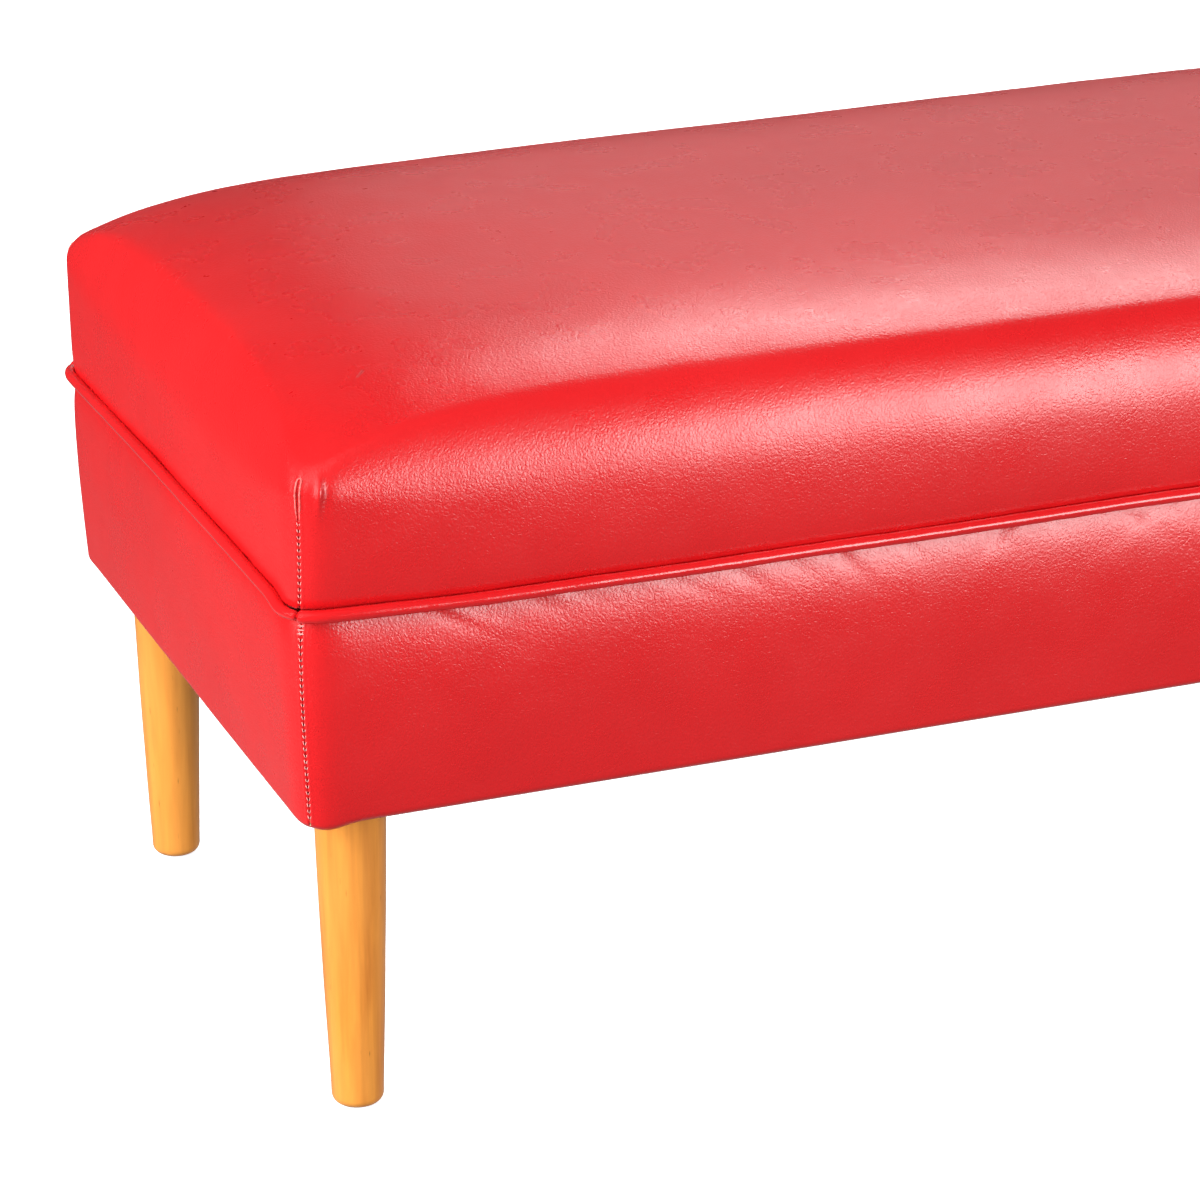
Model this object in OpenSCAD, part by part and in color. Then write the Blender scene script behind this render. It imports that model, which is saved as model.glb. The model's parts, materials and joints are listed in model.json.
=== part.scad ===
// Upholstered bench without a back, on four turned legs.
// Length runs along X, the front faces -Y, Z is up, and the origin is on the floor at the centre.

/* [Overall] */
// Length over the leather of the lower band
bench_length = 1000; // [700:10:1500]
// Depth over the leather of the lower band
bench_depth = 400; // [300:1:520]
// Height of the timber frame's underside above the floor
leg_height = 170.5; // [120:0.5:300]
// Height of the timber rails
rail_height = 105; // [80:1:140]
// Rise of the seat's crown above the welt
seat_rise = 114; // [100:1:150]

/* [Legs] */
// Diameter of a leg where it meets the frame
leg_top_d = 36; // [28:0.2:46]
// Diameter of a leg at the foot, before its edge is rounded
leg_foot_d = 25.6; // [20:0.2:34]
// How far a leg's side swells past a straight taper, on the radius
leg_swell = 0.5; // [0:0.1:1.5]
// How much further the legs stand in from the long sides than from the ends
leg_setback = 3.5; // [0:0.5:8]
// Radius of the rounded edge at the foot
foot_round = 5; // [2:0.5:5]
// Diameter of a foot glide
glide_d = 13; // [10:0.5:14]
// Thickness of a foot glide's disc
glide_t = 3; // [2:0.1:4]
// How far a glide stands out of the foot
glide_proud = 0.8; // [0.5:0.1:1.5]

/* [Frame] */
// Thickness of the timber rails
rail_t = 18; // [15:0.2:25]
// Side of a corner block
block_side = 60; // [52:1:80]
// Height of a corner block
block_height = 45; // [36:1:60]
// Height of a cross rail
cross_rail_h = 60; // [40:1:70]
// Gap between a cross rail and the webbing above it
cross_rail_drop = 25; // [10:1:30]
// Diameter of a dowel
dowel_d = 8; // [6:1:10]
// Length of a dowel
dowel_length = 40; // [30:1:50]

/* [Fixings] */
// Thread diameter of a leg's hanger bolt
bolt_d = 8; // [6:0.2:10]
// Length of the bolt's wood thread in the leg
bolt_in_leg = 38; // [25:1:60]
// Diameter of a tee nut's flange
tee_flange_d = 22; // [18:0.5:28]
// Thickness of a tee nut's flange
tee_flange_t = 1.5; // [1:0.1:2.5]
// Wall of a tee nut's barrel
tee_wall = 1; // [0.8:0.1:1.5]
// Length of a tee nut's barrel
tee_barrel = 11; // [8:1:15]
// Diameter of a block screw
screw_d = 4.5; // [3.5:0.5:6]
// Wire thickness of the staples
staple_wire = 0.7; // [0.5:0.1:1.2]
// Width of a staple
staple_width = 10; // [6:1:14]

/* [Upholstery] */
// Thickness of the leather
cover_t = 1; // [0.8:0.1:1.4]
// Thickness of the foam on the outside of the rails
pad_t = 5; // [4:0.5:8]
// Thickness of the fibre wadding over the seat foam
wadding_t = 6; // [4:0.5:10]
// Diameter of the covered welt
welt_d = 6.5; // [5:0.5:9]
// Diameter of the cord in the welt
welt_cord_d = 4.2; // [3:0.1:5]
// How far the band leans out between its foot and the welt
band_lean = 2; // [0:0.5:6]
// How far the long sides bow out at the welt
long_bow = 4; // [0:1:14]
// How far the short sides bow out at the welt
short_bow = 1; // [0:1:8]
// How far the seat's sides bulge between the welt and the shoulder
face_bulge = 2.5; // [0:0.5:6]
// Width of the tight rounding at the seat's upper edge
shoulder_w = 22; // [16:1:30]
// Height of that rounding along the middle of a side
shoulder_h = 33; // [24:1:36]
// Height of that rounding at a corner
corner_shoulder_h = 15; // [12:1:20]
// How far the rounding starts lower at a corner than along a side
corner_drop = 5; // [0:1:10]
// Rise of the crown from the rounding to the middle
crown_rise = 19; // [10:1:26]
// Distance over which the crown rises by two thirds
crown_reach = 60; // [40:1:90]
// Pitch of the corner stitches
stitch_pitch = 5; // [3:0.5:8]
// Diameter of the sewing thread
thread_d = 0.8; // [0.5:0.1:1.2]

/* [Seat support] */
// Width of the webbing
strap_w = 50; // [40:1:70]
// Thickness of the webbing
strap_t = 1.2; // [0.8:0.1:2]
// Smallest gap between crosswise straps
strap_gap = 70; // [40:5:120]
// Number of lengthwise straps
long_straps = 3; // [2:1:3]
// Thickness of the cloths above the webbing and under the frame
cloth_t = 0.5; // [0.3:0.1:0.8]

/* [Hidden] */
$fn = 48;

fit_gap = 0.1;         // clearance round pins, bolts and barrels
layer_gap = 0.2;       // clearance between soft layers
wrap = pad_t + cover_t;
half_l = bench_length / 2;
half_d = bench_depth / 2;
wood_l = bench_length - 2 * wrap;
wood_d = bench_depth - 2 * wrap;
inner_l = wood_l - 2 * rail_t;
inner_d = wood_d - 2 * rail_t;
frame_top = leg_height + rail_height;

// A leg's axis is set by the tee nut, whose flange must clear the rails.
flange_room = 2;
axis_inset = wrap + rail_t + tee_flange_d / 2 + flange_room;
leg_x = half_l - axis_inset;
leg_y = half_d - axis_inset - leg_setback;
leg_signs = [[-1, -1], [1, -1], [-1, 1], [1, 1]];

strap_z = frame_top;
deck_z = strap_z + 2 * strap_t + 2 * layer_gap;
foam_z = deck_z + cloth_t + layer_gap;
welt_z = frame_top + 5;
welt_r = welt_d / 2;
welt_proud = 1.5;      // how far the welt's centre stands out from the band
shoulder_z = welt_z + seat_rise - shoulder_h - crown_rise;

// The leather's corner is as round as the square timber corner inside it allows.
corner_slack = 0.5;
corner_r = (wrap - cover_t * cos(45) - corner_slack) / (1 - cos(45));
edge_round = pad_t;
turn_under = axis_inset - leg_top_d / 2 - 2.5;
under_z = leg_height - cover_t;

leg_color = [0.88, 0.58, 0.27];
frame_color = [0.84, 0.72, 0.52];
steel_color = [0.72, 0.73, 0.75];
red_leather = [0.84, 0.13, 0.13];
foam_color = [0.95, 0.93, 0.84];
wadding_color = [0.96, 0.96, 0.96];
webbing_color = [0.45, 0.36, 0.26];
black_cloth = [0.09, 0.09, 0.1];
thread_color = [0.93, 0.66, 0.64];
glide_color = [0.3, 0.26, 0.22];

// ---- outline of the leather: a rounded rectangle whose sides bow out ----

arc_steps = 3;         // steps from a corner's middle to the start of a side
side_steps = [12, 6];   // steps along a long and a short side

function turned(p, k) = k == 0 ? p : k == 1 ? [-p[1], p[0]] : k == 2 ? [-p[0], -p[1]] : [p[1], -p[0]];
function corner_point(cx, cy, r, a) = [cx + r * cos(a), cy + r * sin(a)];

// One side, from the middle of its first corner up to the middle of its next one.
function side_points(a, b, r, bow, steps) = concat(
    [for (i = [0 : arc_steps - 1]) corner_point(r - a, r - b, r, 225 + 45 * i / arc_steps)],
    [for (i = [0 : steps]) let (x = (a - r) * (2 * i / steps - 1))
        [x, -b - bow * (1 - pow(2 * i / steps - 1, 2))]],
    [for (i = [1 : arc_steps - 1]) corner_point(a - r, r - b, r, 270 + 45 * i / arc_steps)]
);

function side_of(k, hx, hy, r, bow) =
    let (long = k % 2 == 0, pts = side_points(long ? hx : hy, long ? hy : hx, r,
        bow * (long ? long_bow : short_bow), side_steps[k % 2]))
    [for (p = pts) turned(p, k)];

// A profile point is [inset from the band's face, height, corner radius, share of the bow].
function ring(q) = [for (k = [0 : 3]) for (p = side_of(k, half_l - q[0], half_d - q[0], q[2], q[3]))
    [p[0], p[1], q[1]]];
function ring_size() = 2 * (4 * arc_steps + side_steps[0] + side_steps[1]);
function side_start(k) = k < 1 ? 0 : side_start(k - 1) + 2 * arc_steps + side_steps[(k - 1) % 2];
function flat(rows) = [for (row = rows) for (p = row) p];

// A closed dish: the rings start and end near the middle, and both ends are capped.
module dish(rings) {
    n = ring_size();
    m = len(rings);
    last = (m - 1) * n;
    faces = concat(
        [for (j = [0 : m - 2]) for (i = [0 : n - 1]) each [
            [j * n + i, j * n + (i + 1) % n, (j + 1) * n + (i + 1) % n],
            [j * n + i, (j + 1) * n + (i + 1) % n, (j + 1) * n + i]]],
        [for (i = [0 : n / 2 - 2]) each [[i + 1, i, n - 2 - i], [n - 2 - i, i, n - 1 - i]]],
        [for (i = [0 : n / 2 - 2]) each [
            [last + i, last + i + 1, last + n - 2 - i], [last + i, last + n - 2 - i, last + n - 1 - i]]]
    );
    polyhedron(points = flat(rings), faces = faces, convexity = 6);
}

// A closed loop round the whole bench, with the profile as its cross-section.
module loop_round(profile) {
    n = ring_size();
    m = len(profile);
    faces = [for (j = [0 : m - 1]) for (i = [0 : n - 1]) let (k = (j + 1) % m) each [
        [j * n + i, j * n + (i + 1) % n, k * n + (i + 1) % n],
        [j * n + i, k * n + (i + 1) % n, k * n + i]]];
    polyhedron(points = flat([for (q = profile) ring(q)]), faces = faces, convexity = 6);
}

// One side of such a loop, mitred at the middle of both corners.
module side_panel(profile, side) {
    first = side_start(side);
    n = 2 * arc_steps + side_steps[side % 2] + 1;
    m = len(profile);
    points = flat([for (q = profile) let (all_points = ring(q))
        [for (i = [0 : n - 1]) all_points[(first + i) % ring_size()]]]);
    faces = concat(
        [for (j = [0 : m - 1]) for (i = [0 : n - 2]) let (k = (j + 1) % m) each [
            [j * n + i, j * n + i + 1, k * n + i + 1],
            [j * n + i, k * n + i + 1, k * n + i]]],
        [[for (j = [0 : m - 1]) j * n]],
        [[for (j = [0 : m - 1]) (m - 1 - j) * n + n - 1]]
    );
    polyhedron(points = points, faces = faces, convexity = 6);
}

// ---- the seat's layers, each a dish of rings that follow the crown ----

face_steps = 3;
shoulder_steps = 5;
crown_steps = 5;
middle_inset = half_d - 6;
seat_corner_growth = 0.45;   // how fast the corners open out towards the crown

function rise(distance) = 1 - exp(-max(0, distance) / crown_reach);
function from_end(p) = half_l - abs(p[0]);
function from_side(p) = half_d - abs(p[1]);
function cornerness(p) = exp(-(max(0, from_end(p)) + max(0, from_side(p))) / crown_reach);
function shoulder_foot(p) = shoulder_z - corner_drop * cornerness(p);
function shoulder_height(p) = shoulder_h + (corner_shoulder_h - shoulder_h) * cornerness(p);
function crown(p) = crown_rise * rise(from_end(p)) * rise(from_side(p));

function seat_outline(inset, depth) = [for (k = [0 : 3]) for (p = side_of(k, half_l - inset, half_d - inset,
    min(max(2, corner_r - depth) + seat_corner_growth * max(0, inset - depth), half_d - inset - 1),
    max(0, 1 - max(0, inset) / half_d))) p];

// The layer at a depth below the leather's outside, from its foot at height z to the crown.
function face_ring(depth, z, u) = [for (p = seat_outline(depth - band_lean - face_bulge * sin(180 * u), depth))
    [p[0], p[1], z + u * (shoulder_foot(p) - z)]];
function shoulder_ring(depth, a) = [for (p = seat_outline(depth + (shoulder_w - depth + band_lean) * (1 - cos(a))
    - band_lean, depth)) [p[0], p[1], shoulder_foot(p) + (shoulder_height(p) - depth) * sin(a) + crown(p)]];
function crown_ring(depth, inset) = [for (p = seat_outline(inset, depth))
    [p[0], p[1], shoulder_foot(p) + shoulder_height(p) - depth + crown(p)]];

function seat_layer(depth, z) = concat(
    [for (i = [0 : face_steps - 1]) face_ring(depth, z, i / face_steps)],
    [for (i = [0 : shoulder_steps]) shoulder_ring(depth, 90 * i / shoulder_steps)],
    [for (i = [1 : crown_steps]) crown_ring(depth, shoulder_w + (middle_inset - shoulder_w) * i / crown_steps)]
);
function reversed(pts) = [for (i = [len(pts) - 1 : -1 : 0]) pts[i]];

cover_foot_z = welt_z + welt_r + fit_gap;
wadding_depth = cover_t + layer_gap;
foam_depth = wadding_depth + wadding_t + layer_gap;

// ---- legs and their fixings ----

leg_steps = 12;
leg_length = leg_height - glide_proud;
function leg_radius(z) = let (u = z / leg_length)
    leg_foot_d / 2 + u * (leg_top_d - leg_foot_d) / 2 + leg_swell * sin(180 * u);
leg_top_ease = 1;
glide_nail_d = 3;
glide_nail = 12;
bore_spare = 2;        // how much deeper each blind hole is than what it holds

module leg(sx, sy) {
    side = [for (i = [0 : leg_steps]) let (z = foot_round + (leg_length - leg_top_ease - foot_round) * i / leg_steps)
        [leg_radius(z), z]];
    round_steps = 5;
    foot = [for (i = [0 : round_steps - 1]) let (a = 90 * i / round_steps)
        [side[0][0] - foot_round * (1 - sin(a)), foot_round * (1 - cos(a))]];
    color(leg_color) translate([sx * leg_x, sy * leg_y, glide_proud]) difference() {
        rotate_extrude() polygon(concat([[0, 0]], foot, side,
            [[leg_radius(leg_length) - leg_top_ease, leg_length], [0, leg_length]]));
        translate([0, 0, leg_length - bolt_in_leg - bore_spare])
            cylinder(d = bolt_d + 2 * fit_gap, h = bolt_in_leg + 2 * bore_spare);
        translate([0, 0, -1]) cylinder(d = glide_d + 2 * fit_gap, h = 1 + glide_t - glide_proud + fit_gap);
        cylinder(d = glide_nail_d + 2 * fit_gap, h = glide_t - glide_proud + glide_nail + bore_spare);
    }
}

module foot_glides() {
    color(glide_color) for (s = leg_signs) translate([s[0] * leg_x, s[1] * leg_y, 0]) union() {
        cylinder(d = glide_d, h = glide_t);
        cylinder(d = glide_nail_d, h = glide_t + glide_nail);
    }
}

block_top = leg_height + block_height;
bolt_above = 4;        // how far the bolt's tip shows above the tee nut
bolt_tip = 0.8;

module hanger_bolts() {
    color(steel_color) for (s = leg_signs) translate([s[0] * leg_x, s[1] * leg_y, leg_height - bolt_in_leg])
        rotate_extrude() polygon([
            [0, 0], [bolt_d / 2 - 2, 0], [bolt_d / 2, 5],
            [bolt_d / 2, bolt_in_leg + block_height + bolt_above - bolt_tip],
            [bolt_d / 2 - bolt_tip, bolt_in_leg + block_height + bolt_above],
            [0, bolt_in_leg + block_height + bolt_above]
        ]);
}

module tee_nuts() {
    color(steel_color) for (s = leg_signs) translate([s[0] * leg_x, s[1] * leg_y, block_top - tee_barrel])
        difference() {
            union() {
                cylinder(d = bolt_d + 2 * tee_wall, h = tee_barrel + tee_flange_t);
                translate([0, 0, tee_barrel]) cylinder(d = tee_flange_d, h = tee_flange_t);
            }
            translate([0, 0, -1]) cylinder(d = bolt_d + 2 * fit_gap, h = tee_barrel + tee_flange_t + 2);
        }
}

// ---- timber frame ----

screw_head_d = screw_d * 2;
screw_head_t = 3;
screw_bite = 13;       // length of a screw's end in a rail
screw_sink = 14;       // depth of a screw's head below the block's face
screw_length = block_side - screw_sink + screw_bite;
// Screws at two places along a rail; those into the long rails lie below those into the short ones.
screw_places = [block_side - 28, block_side - 12];
screw_heights = [12, 30];

// The screw points along -X from the block's face at x = block_side.
module block_screw(spare) {
    translate([-screw_bite - spare, 0, 0]) rotate([0, 90, 0])
        cylinder(d = screw_d + 2 * spare, h = screw_length + spare);
    translate([block_side - screw_sink - screw_head_t - spare, 0, 0]) rotate([0, 90, 0])
        cylinder(d = screw_head_d + 2 * spare, h = screw_head_t + spare + (spare > 0 ? screw_sink + 1 : 0));
}

// Screws of one block, in the block's corner frame: origin at the rails' inner corner.
module screws_of_block(spare) {
    for (u = screw_places) {
        translate([0, u, screw_heights[1]]) block_screw(spare);
        translate([u, 0, screw_heights[0]]) mirror([1, -1, 0]) block_screw(spare);
    }
}

module at_corner(sx, sy) {
    translate([sx * inner_l / 2, sy * inner_d / 2, leg_height]) towards_middle(sx, sy) children();
}

// Turns a corner drawn in +X +Y towards the bench's middle.
module towards_middle(sx, sy) {
    mirror([sx > 0 ? 1 : 0, 0, 0]) mirror([0, sy > 0 ? 1 : 0, 0]) children();
}

block_clip = 22;       // size of the clipped inner edge
module corner_block(sx, sy) {
    bore_x = axis_inset - wrap - rail_t;
    bore_y = bore_x + leg_setback;
    color(frame_color) at_corner(sx, sy) difference() {
        linear_extrude(block_height) polygon([
            [0, 0], [block_side, 0], [block_side, block_side - block_clip],
            [block_side - block_clip, block_side], [0, block_side]
        ]);
        translate([bore_x, bore_y, -1]) cylinder(d = bolt_d + 2, h = block_height + 2);
        translate([bore_x, bore_y, block_height - tee_barrel - fit_gap])
            cylinder(d = bolt_d + 2 * tee_wall + 2 * fit_gap, h = tee_barrel + 1);
        screws_of_block(fit_gap);
    }
}

module block_screws() {
    color(steel_color) for (s = leg_signs) at_corner(s[0], s[1]) screws_of_block(0);
}

dowel_in_rail = 12;
dowel_heights = [rail_height * 0.28, rail_height * 0.8];
cross_x = wood_l / 6;
cross_z = rail_height - cross_rail_drop - cross_rail_h;
cross_dowel_heights = [cross_z + cross_rail_h * 0.25, cross_z + cross_rail_h * 0.75];
side_x = (inner_l + rail_t) / 2;

// Dowels along Y in the joint at y = inner_d / 2, for a rail at a given x.
module dowel_row(x, heights, spare) {
    for (sy = [-1, 1]) for (z = heights)
        translate([x, sy * (inner_d / 2 + dowel_in_rail - dowel_length / 2), leg_height + z]) rotate([90, 0, 0])
            cylinder(d = dowel_d + 2 * spare, h = dowel_length + 10 * spare, center = true);
}

module all_dowels(spare) {
    for (sx = [-1, 1]) {
        dowel_row(sx * side_x, dowel_heights, spare);
        dowel_row(sx * cross_x, cross_dowel_heights, spare);
    }
}

module rail_dowels() {
    color(frame_color) all_dowels(0);
}

module long_rail(sy) {
    color(frame_color) difference() {
        translate([-wood_l / 2, sy > 0 ? inner_d / 2 : -wood_d / 2, leg_height]) cube([wood_l, rail_t, rail_height]);
        all_dowels(fit_gap);
        for (sx = [-1, 1]) at_corner(sx, sy) screws_of_block(fit_gap);
    }
}

module short_rail(sx) {
    color(frame_color) difference() {
        translate([sx > 0 ? inner_l / 2 : -wood_l / 2, -inner_d / 2, leg_height]) cube([rail_t, inner_d, rail_height]);
        dowel_row(sx * side_x, dowel_heights, fit_gap);
        for (sy = [-1, 1]) at_corner(sx, sy) screws_of_block(fit_gap);
    }
}

module cross_rail(sx) {
    color(frame_color) difference() {
        translate([sx * cross_x - rail_t / 2, -inner_d / 2, leg_height + cross_z]) cube([rail_t, inner_d, cross_rail_h]);
        dowel_row(sx * cross_x, cross_dowel_heights, fit_gap);
    }
}

// ---- webbing, deck cloth and staples ----

strap_edge = 6;        // how far a strap's end stays inside the rail's outer edge
strap_count = floor((inner_l - strap_gap) / (strap_w + strap_gap));
strap_pitch = inner_l / strap_count;
function strap_x(i) = -inner_l / 2 + strap_pitch * (i + 0.5);
long_strap_pitch = inner_d / (long_straps + 0.5);
function long_strap_y(j) = long_strap_pitch * (j - (long_straps - 1) / 2);

module webbing_crosswise() {
    color(webbing_color) for (i = [0 : strap_count - 1])
        translate([strap_x(i) - strap_w / 2, -wood_d / 2 + strap_edge, strap_z])
            cube([strap_w, wood_d - 2 * strap_edge, strap_t]);
}

// A lengthwise strap passes over and under the crosswise ones by turns.
function weave_line(j) = concat(
    [[-wood_l / 2 + strap_edge, strap_z], [-inner_l / 2, strap_z]],
    [for (i = [0 : strap_count - 1]) for (side = [-1, 1])
        [strap_x(i) + side * (strap_w / 2 + 3),
            (i + j) % 2 == 0 ? strap_z + strap_t + layer_gap : strap_z - strap_t - layer_gap]],
    [[inner_l / 2, strap_z], [wood_l / 2 - strap_edge, strap_z]]
);

module webbing_lengthwise() {
    color(webbing_color) for (j = [0 : long_straps - 1]) let (line = weave_line(j))
        translate([0, long_strap_y(j) + strap_w / 2, 0]) rotate([90, 0, 0]) linear_extrude(strap_w)
            polygon(concat(line, [for (i = [len(line) - 1 : -1 : 0]) line[i] + [0, strap_t]]));
}

staple_leg = 8;
// A staple whose crown lies along X on the plane z = 0, with its legs pointing down.
module staple() {
    w = staple_width / 2;
    t = staple_wire;
    translate([0, t / 2, 0]) rotate([90, 0, 0]) linear_extrude(t) polygon([
        [-w, t], [w, t], [w, -staple_leg], [w - t, -staple_leg], [w - t, 0], [-w + t, 0],
        [-w + t, -staple_leg], [-w, -staple_leg]
    ]);
}

module webbing_staples() {
    color(steel_color) {
        for (i = [0 : strap_count - 1]) for (sy = [-1, 1]) for (off = [-1, 1])
            translate([strap_x(i) + off * strap_w / 4, sy * (wood_d / 2 - rail_t / 2), strap_z + strap_t]) staple();
        for (j = [0 : long_straps - 1]) for (sx = [-1, 1]) for (off = [-1, 1])
            translate([sx * (wood_l / 2 - rail_t / 2), long_strap_y(j) + off * strap_w / 4, strap_z + strap_t])
                rotate([0, 0, 90]) staple();
    }
}

deck_edge = 3;
module deck_cloth() {
    color(black_cloth) translate([-wood_l / 2 + deck_edge, -wood_d / 2 + deck_edge, deck_z])
        cube([wood_l - 2 * deck_edge, wood_d - 2 * deck_edge, cloth_t]);
}

// ---- seat ----

module seat_foam() {
    color(foam_color) dish(seat_layer(foam_depth, foam_z));
}

module seat_wadding() {
    color(wadding_color) dish(concat(
        reversed(seat_layer(foam_depth - layer_gap, cover_foot_z)), seat_layer(wadding_depth, cover_foot_z)));
}

module seat_cover() {
    color(red_leather) dish(concat(
        reversed(seat_layer(cover_t, cover_foot_z)), seat_layer(0, cover_foot_z)));
}

// ---- welt ----

welt_sides = 8;
welt_slit = 12;        // half angle of the slit where the welt's leather is sewn shut
function welt_point(r, a) = [-band_lean - welt_proud - r * cos(a), welt_z + r * sin(a), corner_r + welt_proud, 1];

module welt_cover() {
    inner_r = welt_cord_d / 2 + fit_gap;
    span = 360 - 2 * welt_slit;
    color(red_leather) loop_round(concat(
        [for (i = [0 : welt_sides]) welt_point(inner_r, -180 + welt_slit + span * i / welt_sides)],
        [for (i = [0 : welt_sides]) welt_point(welt_r, 180 - welt_slit - span * i / welt_sides)]));
}

module welt_cord() {
    color(wadding_color) loop_round(
        [for (i = [0 : welt_sides - 1]) welt_point(welt_cord_d / 2, -360 * i / welt_sides)]);
}

// ---- lower band ----

band_top_z = welt_z - welt_r - fit_gap;
band_foot_z = under_z + edge_round;
function band_share(z) = max(0, (z - band_foot_z) / (welt_z - band_foot_z));
function band_point(z, depth) = [depth - band_lean * band_share(z), z, corner_r - depth, band_share(z)];
function edge_point(a, depth) = [
    edge_round - (edge_round - depth) * cos(a), band_foot_z - (edge_round - depth) * sin(a),
    max(1, corner_r - depth), 0
];
square_corner = 0.5;

function band_profile() = concat(
    [[turn_under, under_z, square_corner, 0]],
    [for (a = [90, 60, 30]) edge_point(a, 0)],
    [for (u = [0, 0.5, 1]) band_point(band_foot_z + u * (band_top_z - band_foot_z), 0)],
    [for (u = [1, 0.5, 0]) band_point(band_foot_z + u * (band_top_z - band_foot_z), cover_t)],
    [for (a = [30, 60, 90]) edge_point(a, cover_t)],
    [[turn_under, leg_height, square_corner, 0]]
);

padding_top_z = min(frame_top, band_top_z);
padding_depth = cover_t + 2 * layer_gap;
function padding_profile() = concat(
    [[wrap, leg_height + 1, square_corner, 0]],
    [for (a = [50, 25]) edge_point(a, padding_depth)],
    [for (u = [0, 0.5, 1])
        band_point(band_foot_z + u * (padding_top_z - band_foot_z), padding_depth)],
    [[wrap, padding_top_z, square_corner, 0]]
);

module band(side) {
    color(red_leather) side_panel(reversed(band_profile()), side);
}

module band_padding(side) {
    color(foam_color) side_panel(reversed(padding_profile()), side);
}

// ---- sewing and staples ----

// Stitches lie along each corner's seam, on the leather's outside.
stitch_length = stitch_pitch * 0.7;
seam_top_z = shoulder_z - 5;
module corner_stitches() {
    seam_in = corner_r * (1 - cos(45)) - thread_d * 0.8;
    color(thread_color) for (s = leg_signs) {
        for (z = [band_foot_z + 2 : stitch_pitch : band_top_z - stitch_pitch])
            translate([s[0] * (half_l - seam_in + band_lean * band_share(z)),
                s[1] * (half_d - seam_in + band_lean * band_share(z)), z])
                cylinder(d = thread_d, h = stitch_length, $fn = 16);
        for (z = [cover_foot_z + 2 : stitch_pitch : seam_top_z - stitch_pitch])
            let (out = band_lean + face_bulge * sin(180 * (z - welt_z) / (shoulder_z - welt_z)))
            translate([s[0] * (half_l - seam_in + out), s[1] * (half_d - seam_in + out), z])
                cylinder(d = thread_d, h = stitch_length, $fn = 16);
    }
}

// Staples round the underside, on a rectangle inset from the band's face; crowns face down.
module staple_round(inset, spacing, z, clear) {
    lx = half_l - inset;
    ly = half_d - inset;
    nx = floor(2 * (lx - clear) / spacing);
    ny = floor(2 * (ly - clear) / spacing);
    for (sy = [-1, 1]) for (i = [0 : nx])
        translate([(lx - clear) * (2 * i / nx - 1), sy * ly, z]) rotate([180, 0, 0]) staple();
    for (sx = [-1, 1]) for (i = [0 : ny])
        translate([sx * lx, (ly - clear) * (2 * i / ny - 1), z]) rotate([180, 0, 90]) staple();
}

leg_clear = axis_inset + leg_setback + leg_top_d / 2;
module cover_staples() {
    color(steel_color) staple_round(turn_under - 4, 60, under_z, leg_clear + 6);
}

dust_edge = 12;        // how far the dust cover stays inside the band's face
dust_hole_gap = 1.5;
dust_z = under_z - staple_wire - layer_gap;
module dust_cover() {
    color(black_cloth) translate([0, 0, dust_z - cloth_t]) linear_extrude(cloth_t) difference() {
        square([bench_length - 2 * dust_edge, bench_depth - 2 * dust_edge], center = true);
        for (s = leg_signs) translate([s[0] * leg_x, s[1] * leg_y]) circle(d = leg_top_d + 2 * dust_hole_gap);
    }
}

module dust_cover_staples() {
    color(steel_color) staple_round(dust_edge + 4, 75, dust_z - cloth_t, leg_clear + 12);
}

leg(-1, -1);  // leg_front_left
leg(1, -1);  // leg_front_right
leg(-1, 1);  // leg_back_left
leg(1, 1);  // leg_back_right
hanger_bolts();
tee_nuts();
foot_glides();
corner_block(-1, -1);  // corner_block_front_left
corner_block(1, -1);  // corner_block_front_right
corner_block(-1, 1);  // corner_block_back_left
corner_block(1, 1);  // corner_block_back_right
long_rail(-1);  // front_rail
long_rail(1);  // back_rail
short_rail(-1);  // left_rail
short_rail(1);  // right_rail
cross_rail(-1);  // cross_rail_left
cross_rail(1);  // cross_rail_right
rail_dowels();
block_screws();
webbing_crosswise();
webbing_lengthwise();
webbing_staples();
deck_cloth();
seat_foam();
seat_wadding();
seat_cover();
welt_cover();
welt_cord();
band_padding(0);  // band_padding_front
band_padding(1);  // band_padding_right
band_padding(2);  // band_padding_back
band_padding(3);  // band_padding_left
band(0);  // band_front
band(1);  // band_right
band(2);  // band_back
band(3);  // band_left
corner_stitches();
cover_staples();
dust_cover();
dust_cover_staples();
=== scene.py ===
import json
import math
import bpy
import numpy as np
from mathutils import Matrix, Vector, noise
from mathutils.bvhtree import BVHTree

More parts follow.
